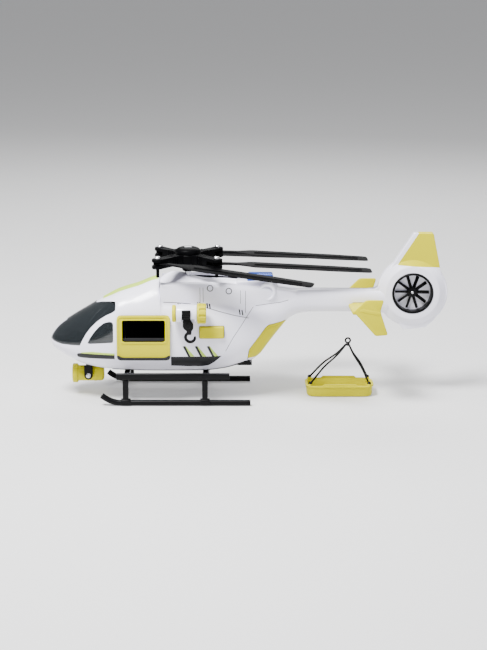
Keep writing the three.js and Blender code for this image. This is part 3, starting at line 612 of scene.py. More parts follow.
def skin_patch(name, lower, upper, rise, depth, rows=4, side=-1, step=2.0):
    """A thin raised layer on the skin between two side-view curves that run the same way."""
    lower, upper = resample(lower, upper, step)
    grid = [lower + (upper - lower) * r / (rows - 1) for r in range(rows)]
    columns = len(lower)
    layers = []
    for lift in (rise, -depth):
        layers.append([(x, side * (side_y(x, z) + lift), z) for row in grid for x, z in row])
    offset = rows * columns
    faces = []
    for r in range(rows - 1):
        for i in range(columns - 1):
            a, d = r * columns + i, (r + 1) * columns + i
            b, c = a + 1, d + 1
            faces += [(a, b, c, d), (a + offset, d + offset, c + offset, b + offset)]
    rim = [i for i in range(columns)]
    rim += [r * columns + columns - 1 for r in range(1, rows)]
    rim += [(rows - 1) * columns + i for i in range(columns - 2, -1, -1)]
    rim += [r * columns for r in range(rows - 2, 0, -1)]
    for a, b in zip(rim, rim[1:] + rim[:1]):
        faces.append((a, a + offset, b + offset, b))
    obj = mesh(name, layers[0] + layers[1], faces)
    finish_normals(obj)
    return obj


def resample(lower, upper, step):
    """Two curves with the same number of points, spread by their own lengths."""
    curves = [np.asarray(c, float) for c in (lower, upper)]
    arcs = [np.concatenate([[0], np.cumsum(np.linalg.norm(np.diff(c, axis=0), axis=1))]) for c in curves]
    count = max(int(max(a[-1] for a in arcs) / step), 2) + 1
    out = []
    for curve, arc in zip(curves, arcs):
        marks = np.linspace(0, arc[-1], count)
        out.append(np.column_stack([np.interp(marks, arc, curve[:, k]) for k in (0, 1)]))
    return out


def mirrored(obj, name):
    """A copy on the starboard side."""
    copy = duplicate(obj)
    copy.name = name
    copy.data.transform(Matrix.Diagonal((1, -1, 1, 1)))
    finish_normals(copy)
    return copy


# Fuselage ------------------------------------------------------------

BEYOND = 60  # past either side of the toy
FAN = (148.2, 0, 95.7)
SPINE = (-164.6, 3.0)  # where the ridge up the nose ends, and its half width
WINDSCREEN = [
    (-190, 53.6), (-179, 53.2), (-175.5, 52.3), (-169, 51.4), (-158, 51.7), (-151.3, 52), (-148.7, 57.5),
    (-145.2, 63.4), (-141.1, 68.6), (-136.4, 73.2), (-131.7, 76.9), (-127, 79.9), (-122.3, 82.3),
    (-118.9, 84.6), (-118.6, 88.6), (-119.1, 91.6), (-122.8, 91.2), (-127.8, 90.1), (-131.6, 89.2),
    (-134.5, 88.2), (-137.6, 87), (-137.6, 116), (-190, 116),
]
SIDE_WINDOW = [
    (-145, 53.9), (-120.7, 56.2), (-120.7, 73.6), (-122, 75), (-124.5, 75), (-129.2, 73.5), (-133.9, 69.8),
    (-138.6, 64.5), (-142.2, 59.2),
]
PANE_CORNERS = [2.2, 2.5, 1.5, 1.5, 1.5, 3, 3, 3, 3]
REAR_DOOR = [(-1.3, 37.4), (0.2, 48.2), (14.6, 67.3), (17.6, 70.2), (33, 72.4), (48, 62), (16, 29), (6.2, 29)]
DOOR = (-117.5, -70, 40.7, 81.4)  # as x0, x1, z0, z1, like the next two
DOOR_WINDOW = (-112.6, -74.4, 58, 77.3)
BUTTON = (-43.7, -21.9, 60.7, 71.3)
BUTTON_GAP = 0.5
HINGE = (-118.7, 91.8)  # the line that the windscreen lifts about
LAMP_X = -145.8  # pivot of the searchlight
FIN = [
    (108, 98.2), (115.7, 98.7), (148.6, 150), (166, 150), (174, 112), (179, 103),
    (180, 95.7), (177, 84), (168, 70), (160, 63.3), (140.6, 61.4), (128.7, 76.6), (108, 78),
]
FIN_CORNERS = [0.5, 14, 2, 2, 6, 6, 5, 8, 8, 3, 2, 8, 0.5]
# The yellow print covers the fin behind its leading edge and above the fan shroud.
FIN_PRINT = [(134.2, 121.4), (200, 117), (200, 160), (159, 160)]
TRAY = (-124, 8, 19, 36)  # ends, half width and top of the belly tray's opening
DECK_LOW = 99
DECK_PLAN = [(-80, 16), (-78.5, 19), (-75, 20.5), (-20, 20.5), (1, 18.5), (12, 16), (21, 13.2), (26, 9.5)]


def inset(points, amount):
    """The outline with every corner moved towards the middle."""
    centre = np.mean(points, axis=0)
    out = []
    for point in points:
        toward = centre - point
        out.append(tuple(np.array(point) + toward * amount / np.linalg.norm(toward)))
    return out


def deck_outline(gap):
    """Plan of the sunken deck, smaller all round by gap."""
    edge = [(x - math.copysign(gap, x + 27), y - gap) for x, y in DECK_PLAN]
    corners = [3, 3, 5, 30, 30, 20, 5, 3]
    return rounded([(x, -y) for x, y in edge] + edge[::-1], corners + corners[::-1], 4)


def port_prism(name, outline, near=-BEYOND, far=2.0):
    """A side-view outline pushed in from the port side."""
    return prism(name, outline, near, far)


def fin_solid():
    """The fin's plate, and the barrel-shaped shroud of the fan."""
    plate = prism("fin", rounded(FIN, FIN_CORNERS, 8), -4.6, 4.6)
    soften(plate, 1.6, 4)
    port = [(16, -8), (23.6, -8), (24.8, -7.7), (25.6, -6.9), (28.5, -5.6), (31.7, -3.4)]
    return plate, lathe("shroud", mirror_rows(port), FAN, "y", 128)


def intake_lip():
    """A short round duct beside the rear of the engine deck."""
    inner, outer = [(5.0, 0), (5.0, -17.2), (5.6, -18.4)], [(8.4, -16.5), (9.6, -12), (9.6, 0)]
    profile = [*inner, (6.6, -18.8), (7.6, -18.2), *outer]
    return lathe("intake_lip", profile, (16.6, 0, 98.8), "y", 64)


def set_index(obj, index):
    """Gives every face the same material index."""
    obj.data.polygons.foreach_set("material_index", [index] * len(obj.data.polygons))
    return obj


def two_tone(obj, *materials):
    """Adds materials for the faces to choose from."""
    for material in materials:
        obj.data.materials.append(material)
    return obj


def port_half(white, painted_shade):
    """The port half of the fuselage, with its openings, panel lines and vents."""

    # The inside of the skin and the walls of panel lines, recesses and vents take the dark second material:
    # painted shade, not the colour of the plastic.
    def lined(obj):
        return set_index(two_tone(obj, white, painted_shade), 1)

    body = two_tone(loft("fuselage_left", -180, 126, 0), white, painted_shade)
    add(body, *fin_solid(), intake_lip())
    cut(body, lined(loft("room", -176, 112, -WALL)))
    spine_end, spine_half = SPINE
    cut(body, port_prism("screen", WINDSCREEN, far=-spine_half))
    middle = port_prism("screen_middle", WINDSCREEN, near=-spine_half - 1)
    cut(body, keep(middle, block("behind_spine", (spine_end, -10, 0), (0, 10, 200))))
    cut(body, port_prism("side_window", rounded(SIDE_WINDOW, PANE_CORNERS, 5)))
    x0, x1, z0, z1 = DOOR
    cut(body, port_prism("doorway", oblong(x0 + 2.5, x1 - 2.5, z0 + 2.5, z1 - 2.5, 2)))
    cut(body, port_prism("tailgate", rounded(REAR_DOOR, [1, 3, 4, 4, 1, 1, 1, 1], 5)))
    cut(body, prism("deck", deck_outline(0), DECK_LOW, 130, "z"))
    x0, x1, half, top = TRAY
    cut(body, prism("tray", oblong(x0, x1, -half, half, 5), 0, top, "z"))
    cut(body, rod("bore", 18.9, -30, 30, FAN, "y", 128))
    cut(body, block("wing_slot", (94, -BEYOND, 84.2), (113, 5, 87.8)))
    cut(body, rod("lamp_hole", 2.3, 0, 20, (LAMP_X, 0, 20), "z", 32))
    cut(body, *[lined(line) for line in port_grooves()], lined(vents()))
    keep(body, block("port", (-190, -BEYOND, 0), (190, -0.05, 200)))
    return body


def port_grooves():
    """Thin cutters for the panel lines and screw recesses."""
    shoulder = [(-76, 91.6), (-68, 91.5), (-53, 90.4), (-36, 86.7), (-13, 80.4), (0, 77.4)]
    lines = [
        tube("g1", groove_path([(-20.5, 48.3), (-14.2, 59.8), (-7.3, 70), (-1.5, 78.7), (4.2, 86.6)]), 0.25),
        tube("g2", groove_path([(6.4, 87.5), (16.6, 88.5), (28.8, 89.5), (36, 91.2)]), 0.25),
        tube("g3", groove_path([(-43.2, 91.5), (-43.3, 98), (-43.4, 105)], step=1.5), 0.22),
        tube("g4", groove_path([(-40.4, 91.5), (-40.5, 98), (-40.6, 105)], step=1.5), 0.22),
        tube("g5", groove_path([(-2.7, 82), (-2.7, 92), (-2.7, 101.5)], step=1.5), 0.22),
        tube("g6", groove_path([(-7.2, 90), (-7.2, 96), (-7.2, 102)], step=1.5), 0.2),
        # This line follows the soft crease along the shoulder; its dark walls paint the shade that falls along
        # the crease.
        tube("shelf", groove_path(shoulder), 0.25),
        tube("rail", groove_path(oblong(-64.6, -53, 57.8, 74.5, 2.4, 4), closed=True, step=1.5), 0.22),
    ]
    for x, z in ((-34.3, 104.2), (-17.6, 101.6)):
        y = side_y(x, z)
        ring = [(2.9, -y + 1.0), (2.9, -y - 3), (2.1, -y - 3), (2.1, -y + 1.0)]
        lines.append(lathe("recess", ring, (x, 0, z), "y", 32))
    lines.append(rod("dimple", 0.8, -33, -40, (-18.5, 0, 74.5), "y", 24))
    return lines


def vents():
    """Pairs of short slanted slots along the shoulder, widest at the third pair."""
    slots = []
    for x, z, tall, radius in (
        (-63.1, 91, 1.3, 0.4), (-61.3, 91, 1.3, 0.4), (-45.2, 90.4, 1.4, 0.45), (-43.3, 90.4, 1.4, 0.45),
        (-36.8, 88.6, 2.2, 0.65), (-34.6, 88.1, 2.2, 0.65), (-7.9, 82.8, 2.2, 0.6), (-5.5, 82.2, 2.2, 0.6),
    ):
        ends = [(x - 0.4, z + tall), (x, z), (x + 0.4, z - tall)]
        slots.append(tube("vent", groove_path(ends, step=0.8), radius, 8))
    return join("vents", *slots)


def fuselage(white, painted_shade, yellow):
    """Both halves, with the yellow print of the fin split off each."""
    # The dark second material paints shade on the inside of the skin.
    port = port_half(white, painted_shade)
    starboard = mirrored(port, "fuselage_right")
    x0, x1, z0, z1 = BUTTON
    hole = oblong(x0 - BUTTON_GAP, x1 + BUTTON_GAP, z0 - BUTTON_GAP, z1 + BUTTON_GAP, 1.6)
    cut(port, prism("button_hole", hole, -BEYOND, 0))
    for obj, side in ((port, "left"), (starboard, "right")):
        printed = keep(duplicate(obj), prism("print_keep", FIN_PRINT, -20, 20))
        printed.name = f"fin_print_{side}"
        cut(obj, prism("print_area", FIN_PRINT, -20, 20))
        finish_normals(obj)
        finish_normals(printed)
        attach(obj, "airframe")
        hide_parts(f"fuselage_{side}")
        place(printed, "airframe", yellow)
        obj.name = f"fuselage_{side}_skin"


# Station, crest height and shape of the hump that carries the rotor mast.
HUMP = np.array([
    [-80, 108.4, 13],
    [-77, 110.9, 14],
    [-73, 113.4, 16],
    [-69.5, 114.8, 17.5],
    [-65.5, 115.0, 18.5],
    [-61, 114.4, 18.5],
    [-55.6, 112.7, 18.5],
    [-48.4, 110.5, 18],
    [-39.3, 108.6, 18],
    [-26, 107.2, 17],
    [-8, 105.6, 15],
    [26, 102.2, 12],
])


def deck_height(x, y):
    """Top of the engine deck: a bell-shaped hump between rims that rise towards the cowl."""
    edge = np.interp(x, [-80, 26], [104.5, 101])
    crest, spread = smooth_table(x, HUMP[:, 0], HUMP[:, 1:])
    bell = np.cos(np.pi / 2 * np.minimum(np.abs(y) / spread, 1)) ** 1.7
    rim = 1.6 * np.clip((np.abs(y) - 14.5) / 6, 0, 1) ** 2
    return edge + rim + (crest - edge) * bell


def engine_deck():
    """The sunken deck between the cowl walls: a hump with hollow flanks, and the beacon's seat behind it."""
    rings = []
    ys = np.linspace(-20.2, 20.2, 61)
    for x in np.linspace(-79.7, 25.7, 89):
        top = [(x, y, z) for y, z in zip(ys, deck_height(x, ys))]
        rings.append(top + [(x, 20.2, 99.4), (x, -20.2, 99.4)])
    deck = rings_solid("engine_deck_top", rings)
    keep(deck, prism("plan", deck_outline(0.3), 90, 130, "z"))
    seat = prism("seat", oblong(-10.8, 24.2, -8.7, 8.7, 3), 100, 108.2, "z")
    for vertex in seat.data.vertices:
        if vertex.co.z > 0.105 and vertex.co.x < -0.005:
            vertex.co.z = 0.1066
    soften(seat, 0.8, 3)
    add(deck, seat)
    cut(deck, prism("lens_seat", oblong(-1.5, 22.6, -7.3, 7.3, 3), 106.4, 120, "z"))
    cut(deck, rod("mast_hole", 3.4, -30, 30, (MAST_X, 0, 110), "z", 48))
    return deck


def domed(name, outline_at, profile):
    """A body whose plan outline shrinks by each profile row's first number at the height in its second."""
    rings = [[(x, y, height) for x, y in outline_at(amount)] for amount, height in profile]
    obj = rings_solid(name, rings)
    finish_normals(obj, 40)
    return obj


def plan_oblong(x0, x1, y0, y1, radius, steps=8):
    """For domed: an oblong that shrinks by the amount asked for."""
    return lambda amount: oblong(
        x0 + amount, x1 - amount, y0 + amount, y1 - amount, max(radius - amount, 0.4), steps
    )


def rear_deck(white, blue):
    """The engine deck and its beacon lens."""
    place(engine_deck(), "airframe", white, "engine_deck")
    lens = domed(
        "beacon_lens_blue",
        plan_oblong(-1.2, 22.3, -7, 7, 3),
        [(0.3, 106.6), (0, 106.9), (0, 111), (0.35, 112), (1.1, 112.7), (2.4, 113)],
    )
    place(lens, "airframe", blue, "beacon_lens")


# Glass, doors, belly ------------------------------------------------------------


def roof_sweep():
    """Copies of the roof edge, as the glass meets it while it lifts about its hinge line."""
    x, z = HINGE
    edge = skin_between("roof_edge", -139, -112, 0.6, -2.6)
    cut(edge, through("opening", inset(WINDSCREEN, -0.1)))
    keep(edge, block("near_edge", (-139, -32, 84), (-112, 32, 100)))
    swept = []
    for angle in (1, 3, 5, 7, 9, 11.5, 14, 17, 20, 24, 28, 32, 36, 39, 42):
        swept.append(move(turn(move(duplicate(edge), -x, 0, -z), -angle, "Y"), x, 0, z))
    bpy.data.objects.remove(edge)
    return swept


def side_panel(name, x0, x1, outside, inside, outline, face_materials=None):
    """A port-side shell that follows the fuselage, trimmed to a side-view outline."""
    shell = skin_between(name, x0, x1, outside, inside, False, face_materials)
    return keep(shell, prism("trim", outline, -BEYOND, -5))


def glazing(glass):
    """The windscreen, open along the spine, and the fixed side windows."""
    screen = skin_between("windscreen_glass", -179.5, -117.4, -0.1, -1.5)
    keep(screen, through("screen_outline", inset(WINDSCREEN, 0.5)))
    half = SPINE[1] + 0.3
    cut(screen, block("spine_gap", (-190, -half, 30), (SPINE[0] + 0.3, half, 78)))
    corner = [(-126, 90.6), (-123, 90.2), (-121.5, 89.8), (-110, 89.8), (-110, 100), (-126, 100)]
    cut(screen, through("hinge_corner", corner), *roof_sweep())
    place(screen, "windscreen", glass, "windscreen")
    outline = rounded(inset(SIDE_WINDOW, 0.4), PANE_CORNERS, 5)
    pane = side_panel("side_window_left_glass", -150, -115, -0.3, -1.6, outline)
    other = mirrored(pane, "side_window_right_glass")
    place(pane, "airframe", glass, "side_window_left")
    place(other, "airframe", glass, "side_window_right")


def side_doors(yellow, black, dark, white):
    """Sliding doors: a pressed frame with an open window, a dark printed foot, and the sill below."""
    x0, x1, z0, z1 = DOOR
    a0, a1, b0, b1 = DOOR_WINDOW
    # The inner faces of the doors take the dark colour as painted shade.
    face_materials = (yellow, dark)
    door = skin_between("door_left_panel", -125, -60, 2.5, 1.0, full=False, face_materials=face_materials)
    keep(door, two_tone(prism("door_outline", oblong(x0, x1, z0, z1, 4), -BEYOND, -5), *face_materials))
    rim = side_panel("door_rim", -125, -60, 3.0, 1.5, oblong(x0, x1, z0, z1, 4), (yellow, yellow))
    cut(rim, prism("rim_inside", oblong(x0 + 1.6, x1 - 1.6, z0 + 1.6, z1 - 1.6, 3), -BEYOND, -5))
    frame = oblong(a0 - 1.5, a1 + 1.5, b0 - 1.5, b1 + 1.5, 2.6)
    frame_rim = side_panel("window_rim", -125, -60, 3.0, 1.5, frame, (yellow, yellow))
    add(door, rim, frame_rim)
    cut(door, prism("door_window", oblong(a0, a1, b0, b1, 1.6), -BEYOND, -5))
    left = soften(door, 0.25, 2)
    foot = side_panel("door_foot_left", -125, -60, 3.08, 1.3, oblong(x0 - 0.05, x1 + 0.05, z0 - 0.05, z1, 4))
    line = [
        (x0 - 2, 45.4), (x0 + 1.5, 45.3), (x0 + 3.4, 43.9), (x0 + 6, 43.2), (x1 - 6, 43.2), (x1 - 3.4, 43.9),
        (x1 - 1.5, 45.3), (x1 + 2, 45.4), (x1 + 2, 30), (x0 - 2, 30),
    ]
    keep(foot, prism("foot_line", line, -BEYOND, -5))
    sill = side_panel("door_sill_left", -125, -60, 0.55, -0.6, oblong(-115.6, -70.9, 34.6, 40.2, 0.8))
    soften(sill, 0.2, 2)
    for piece, body, nodes, material, inner in (
        (left, "door_{}", ["door_{}"], yellow, dark),
        (foot, "door_{}", [], black, None),
        (sill, "airframe", [], white, None),
    ):
        other = mirrored(piece, piece.name.replace("left", "right"))
        for obj, side in ((piece, "left"), (other, "right")):
            names = [node.format(side) for node in nodes]
            place(obj, body.format(side), material, *names, inner=inner)


def tailgate(yellow, white):
    """The rear door: yellow above, its unprinted lip white below, with a stepped top band."""
    outline = rounded(inset(REAR_DOOR, 0.6), [1, 3, 4, 4, 1, 1, 1, 1], 5)
    print_edge = 38.9
    parts = []
    for name, z0, z1 in (("rear_door_panel", print_edge, 100), ("rear_door_lip", 0, print_edge)):
        area = through("gate_outline", outline)
        keep(area, block("gate_level", (-20, -BEYOND - 1, z0), (60, BEYOND + 1, z1)))
        parts.append(keep(skin_between(name, -10, 60, 0.0, -WALL), area))
    door, lip = parts
    path = groove_path([(1.2, 45.5), (9, 56.5), (16.5, 66), (21.5, 68), (33, 69.5)], step=1.5)[:-2]
    cut(door, tube("port_groove", path, 0.3), tube("starboard_groove", [(x, -y, z) for x, y, z in path], 0.3))
    place(door, "rear_door", yellow, "rear_door")
    place(lip, "rear_door", white)


def belly(black):
    """The belly tray and the battery hatch in it."""
    x0, x1, half, top = TRAY
    tray = skin_between("belly_tray_panel", -135, 12, 0.6, -1.6)
    keep(tray, prism("tray_plan", oblong(x0 + 0.3, x1 - 0.3, -half + 0.3, half - 0.3, 5), 10, top - 0.3, "z"))
    tab = soften(block("tray_tab", (-10, -15, 30.5), (3.2, 15, top - 0.3)), 0.5, 3)
    add(tray, tab)
    cut(tray, through("tray_gate", rounded(REAR_DOOR, 1)))
    for x in (-110, -39):
        cut(tray, block("tube_groove", (x - 3, -30, 0), (x + 3, 30, 25.5)))
    cut(tray, prism("hatch", oblong(-107, -57, -13, 13, 2), 10, 35, "z"))
    place(tray, "airframe", black, "belly_tray")
    hatch = skin_between("battery_hatch", -135, 12, 0.6, -1.2)
    keep(hatch, prism("hatch_plan", oblong(-106.7, -57.3, -12.7, 12.7, 2), 10, 40, "z"))
    cut(hatch, block("hatch_groove", (-113, -30, 0), (-107, 30, 25.5)))
    cut(hatch, rod("hatch_hole", 1.6, 0, 20, (-101, 0, 18), "z", 32))
    for x in range(-72, -60, 3):
        add(hatch, block("grip", (x, -6, 24.0), (x + 1.2, 6, 26)))
    place(hatch, "airframe", black, "battery_cover")


def cabin(dark, pale, yellow):
    """Seats with headrests and arm rests, window trims and the bench behind the glass."""
    for side, name in ((-1, "left"), (1, "right")):
        y0, y1 = side * 13.5 - 8, side * 13.5 + 8
        outline = [(-141, 42.3), (-125, 42.3), (-124.2, 66.5), (-127.6, 66.5), (-130.2, 54), (-141, 53)]
        outline = rounded(outline, [1, 1, 1, 1.5, 3, 2], 5)
        seat = soften(prism(f"pilot_seat_{name}_shell", outline, y0, y1), 1.0, 3)
        place(seat, "airframe", dark, f"pilot_seat_{name}")
        head = soften(block(f"headrest_{name}", (-128.3, y0 + 2.4, 66.3), (-124.3, y1 - 2.4, 74)), 1.6, 4)
        place(head, "airframe", pale)
        y = side * 24
        path = [(-131.6, y, 55.4), (-128.6, y, 57.4), (-124.6, y, 57.8), (-122.8, y, 56.8)]
        place(pipe(f"arm_rest_{name}", path, 1.1, 16), "airframe", yellow)
        y = side * 34.6
        trim = soften(block(f"window_trim_{name}", (-113, y - 1, 52), (-73, y + 1, 61)), 0.6, 2)
        place(trim, "airframe", dark)
    outline = [(-62, 42.3), (-49, 42.3), (-49, 76), (-52, 76), (-53, 54), (-62, 54)]
    bench = soften(prism("rear_bench_seat", outline, -21, 21), 1.2, 3)
    place(bench, "airframe", dark, "rear_bench")


def decals(black, lime):
    """Printed stripes on both sides of the nose and behind the doors."""
    low = [(-154.5, 42.8), (-154.2, 41.5), (-152.6, 40.7), (-140, 40.8), (-119.8, 41.0)]
    top = [(-154.5, 43.0), (-154.1, 44.4), (-152.4, 45.1), (-140, 45.0), (-119.8, 44.9)]
    lime_low = [(-150.5, 45.2), (-140, 45.1), (-119.8, 45.0)]
    lime_top = [(-149.5, 46.0), (-140, 47.1), (-119.8, 46.5)]
    swoosh_low = [(-69.4, 34.2), (-53.6, 33.4), (-40.9, 33.4), (-35.1, 34.9), (-30.4, 38.2), (-24.4, 43.6)]
    swoosh_top = [(-69.4, 43.5), (-53.6, 43.6), (-40.9, 43.7), (-35.1, 43.8), (-30.4, 43.9), (-24.2, 44.0)]
    for side, name in ((-1, "left"), (1, "right")):
        dark = [
            skin_patch("nose_bar", low, top, 0.12, 0.4, 5, side),
            skin_patch("swoosh", swoosh_low, swoosh_top, 0.12, 0.4, 6, side),
        ]
        bright = [skin_patch("nose_lime", lime_low, lime_top, 0.12, 0.4, 3, side)]
        for x in (-57.6, -46.9, -36.2):
            left, right = [(x - 1.2, 53.2), (x + 3.6, 43.5)], [(x + 1.0, 53.6), (x + 5.8, 43.5)]
            dark.append(skin_patch("slash", left, right, 0.14, 0.4, 3, side, 1.2))
            left, right = [(x + 1.0, 53.5), (x + 5.8, 43.8)], [(x + 1.5, 53.4), (x + 9.2, 43.8)]
            bright.append(skin_patch("slash_lime", left, right, 0.11, 0.4, 3, side, 1.2))
        place(join(f"dark_print_{name}", *dark), "airframe", black)
        place(join(f"lime_print_{name}", *bright), "airframe", lime)


def roof_stripe(lime):
    """The broad stripe along the roof, from the windscreen to the cowl."""
    rings = []
    for x in np.linspace(-131.5, -81.2, 36):
        y, z = section_curve(x)
        arc = arc_length(y[::-1], z[::-1])
        marks = np.linspace(0, np.interp(x, [-131.5, -122, -81], [4.5, 7.8, 7.8]), 8)
        ys, zs = np.interp(marks, arc, y[::-1]), np.interp(marks, arc, z[::-1])
        half = list(zip(ys, zs))
        top = [(x, -a, b + 0.35) for a, b in reversed(half)] + [(x, a, b + 0.35) for a, b in half[1:]]
        under = [(x, a, b - 0.5) for a, b in reversed(half)] + [(x, -a, b - 0.5) for a, b in half[1:]]
        rings.append(top + under)
    obj = rings_solid("roof_stripe", rings)
    place(obj, "airframe", lime)


# Winch and hook, searchlight ------------------------------------------------------------

WINCH = (0, -42, 85.4)  # its axis runs along X
STRING = (-54, -46.7)  # place of the string in plan


def rounded_drum(x0, x1, radius, edge=0.7):
    """Profile of a cylinder along X with rounded rims."""
    return [
        (0, x0), (radius - edge, x0), (radius - 0.3 * edge, x0 + 0.3 * edge), (radius, x0 + edge),
        (radius, x1 - edge), (radius - 0.3 * edge, x1 - 0.3 * edge), (radius - edge, x1), (0, x1),
    ]


def winch_knob():
    """A thumb wheel with ten shallow flutes."""
    rings = []
    angles = around(160)
    rows = [
        (-45.4, 0.01), (-45.4, 8.4), (-45.1, 8.9), (-44.5, 9), (-43.6, 9), (-43.1, 9), (-38.6, 9),
        (-37.9, 8.7), (-37.6, 8.1), (-37.6, 5.9), (-38.4, 5.5), (-38.4, 0.01),
    ]
    for i, (x, radius) in enumerate(rows):
        depth = 1.3 if 5 <= i <= 8 else 0.0
        r = radius - np.maximum(np.cos(angles * 10), 0) ** 0.8 * depth
        y, z = WINCH[1] + r * np.cos(angles), WINCH[2] + r * np.sin(angles)
        rings.append(np.column_stack([np.full(160, x), y, z]))
    return rings_solid("winch_knob_wheel", rings)


def hook_shape():
    """The hook and its block, as one moulding."""
    cx, cz = -51.6, 64.9
    arc = [math.radians(a) for a in np.linspace(100, 372, 22)]
    path = [(cx + 4.2 * math.cos(a), STRING[1], cz + 4.2 * math.sin(a)) for a in arc]
    hook = pipe("hook_curve", path, [1.35] * 18 + [1.3, 1.2, 1.0, 0.7], 20, 0.95)
    outline = [
        (-57.3, 81.2), (-58.1, 79.4), (-58.1, 74.6), (-57.0, 72.6), (-54.8, 70.9), (-54.6, 67.4),
        (-50.6, 67.4), (-50.2, 70.9), (-48.8, 73.2), (-48.8, 77), (-50.4, 79.2), (-51.6, 81.2),
    ]
    plate = soften(prism("hook_block", rounded(outline, 0.8, 3), STRING[1] - 2.1, STRING[1] + 2.1), 0.35, 2)
    wheel_rows = mirror_rows([(0, -2.6), (2.2, -2.6), (2.6, -2.2)])
    wheel = lathe("sheave", wheel_rows, (-53.4, STRING[1], 75.6), "y", 40)
    return add(plate, hook, wheel)


def winch(white, yellow, black, cord):
    """Barrel, reel, guide, hook, and the string."""
    housing = lathe("winch_housing_barrel", rounded_drum(-63.9, -45.7, 7.6, 0.5), WINCH, "x", 96)
    foot = soften(block("foot", (-61.9, -42, 81.9), (-47.7, -30, 91.4)), 0.8, 3)
    add(housing, foot)
    cut(housing, rod("drum_room", 4.4, -80, -30, WINCH, "x", 48))
    cut(housing, block("string_slot", (-55.5, -50.5, 70), (-52.5, -45.2, 85.4)))
    cut(housing, block("hook_room", (-59.6, -60, 70), (-47.6, -44.2, 81.8)))
    place(housing, "airframe", white, "winch_housing")
    cap = lathe("winch_cap_disc", rounded_drum(-67.6, -64.2, 7.7, 0.9), WINCH, "x", 96)
    place(cap, "winch_reel", yellow, "winch_cap")
    place(winch_knob(), "winch_reel", yellow, "winch_knob")
    rows = [(0, -63.9), (4, -63.9), (4, -60), (3.4, -59.5), (3.4, -48.5), (4, -48), (4, -45.7), (0, -45.7)]
    place(lathe("winch_spool", rows, WINCH, "x", 48), "winch_reel", black, "winch_drum")
    guide = soften(block("string_guide_block", (-58.9, -51.4, 81.6), (-51.1, -44.7, 89.9)), 0.5, 3)
    for z in (83.2, 85.2, 87.2):
        cut(guide, block("rib", (-60, -52, z), (-50, -50.9, z + 0.9)))
    cut(guide, rod("barrel_room", 7.9, -80, -30, WINCH, "x", 64))
    cut(guide, rod("string_hole", 1.1, 60, 95, (STRING[0], STRING[1], 0), "z", 24))
    place(guide, "airframe", black, "string_guide")
    place(hook_shape(), "hook", black, "hook")
    rings = []
    angles = around(15)
    for i, z in enumerate(np.linspace(80.9, 85.2, 24)):
        radius = 0.5 * (1 + 0.12 * np.cos(3 * (angles + i * 0.45)))
        x, y = STRING[0] + radius * np.cos(angles), STRING[1] + radius * np.sin(angles)
        rings.append(np.column_stack([x, y, np.full(15, z)]))
    string = rings_solid("winch_string_strand", rings)
    finish_normals(string, 60)
    string.data.materials.append(cord)
    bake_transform(string)
    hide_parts("winch_string")


LAMP = (0, 0, 19.4)  # the lamp's own axis runs along X


def searchlight(yellow, black, lens, steel):
    """The lamp, and the forked bracket that it tilts in."""
    front, back, x = -160.8, -132.2, LAMP_X
    hole = (x, 0, LAMP[2])
    face = [
        (0, 2.2), (7.0, 2.2), (7.5, 0.2), (8.0, 0), (8.6, 0.3), (8.8, 1), (8.8, 3.9), (8.5, 4.5), (7.5, 5.1),
        (7.15, 5.8), (7.1, 7),
    ]
    rear = [
        (7.1, 9.2), (7.35, 8.8), (7.35, 6.8), (7.1, 6.4), (7.1, 2.6), (6.7, 1.2), (5.6, 0.3), (4.4, 0), (0, 0),
    ]
    profile = [(r, front + t) for r, t in face] + [(r, back - t) for r, t in rear]
    body = lathe("searchlight_can", profile, LAMP, "x", 96)
    cut(body, rod("pivot_hole", 1.5, -20, 20, hole, "y", 32))
    place(body, "searchlight", yellow, "searchlight_body")
    bulge = [(0, 0.3), (3, 0.42), (5.6, 0.8), (7.0, 1.3), (7.0, 1.9), (0, 1.9)]
    glass = lathe("searchlight_glass", [(r, front + t) for r, t in bulge], LAMP, "x", 96)
    place(glass, "searchlight", lens, "searchlight_lens")
    half_width, low, high, inner, outer = 3.9, 27.6, 28.8, 8.3, 10
    turns = np.linspace(-math.pi, 0, 25)
    foot = [(x + half_width * math.cos(a), LAMP[2] + half_width * math.sin(a)) for a in turns]
    outline = [(x - half_width, high)] + foot + [(x + half_width, high)]
    straps = [soften(prism("strap", outline, *ends), 0.4, 3) for ends in ((-outer, -inner), (inner, outer))]
    bridge = soften(block("bridge", (x - 2.6, -outer, low), (x + 2.6, outer, high)), 0.4, 3)
    yoke = add(bridge, *straps, rod("stem", 2, 27.5, 37, (x, 0, 0), "z", 32))
    cut(yoke, rod("yoke_hole", 1.5, -20, 20, hole, "y", 32))
    place(yoke, "airframe", black, "searchlight_yoke")
    screw = cross_screw("searchlight_screw_head", (x, -11.5, LAMP[2]), "y", 2.2, 1.2, 21.5)
    place(screw, "searchlight", steel, "searchlight_screw")


def cross_screw(name, centre, axis, head, shank, length):
    """A pan-head screw with a cross recess. Its head faces against axis."""
    profile = [
        (0, 0), (head * 0.55, 0.08), (head * 0.85, 0.35), (head, 0.8), (head, 1.2), (shank, 1.2),
        (shank, length), (0, length),
    ]
    screw = lathe(name, profile, centre, axis, 48)
    reach, wide, deep = head * 0.62, head * 0.15, 0.6
    along = "xyz".index(axis)
    for across in [i for i in range(3) if i != along]:
        low, high = np.array(centre, float) - wide, np.array(centre, float) + wide
        low[across], high[across] = centre[across] - reach, centre[across] + reach
        low[along], high[along] = centre[along] - 1, centre[along] + deep
        cut(screw, block("recess", low, high))
    return screw


# Landing gear ------------------------------------------------------------


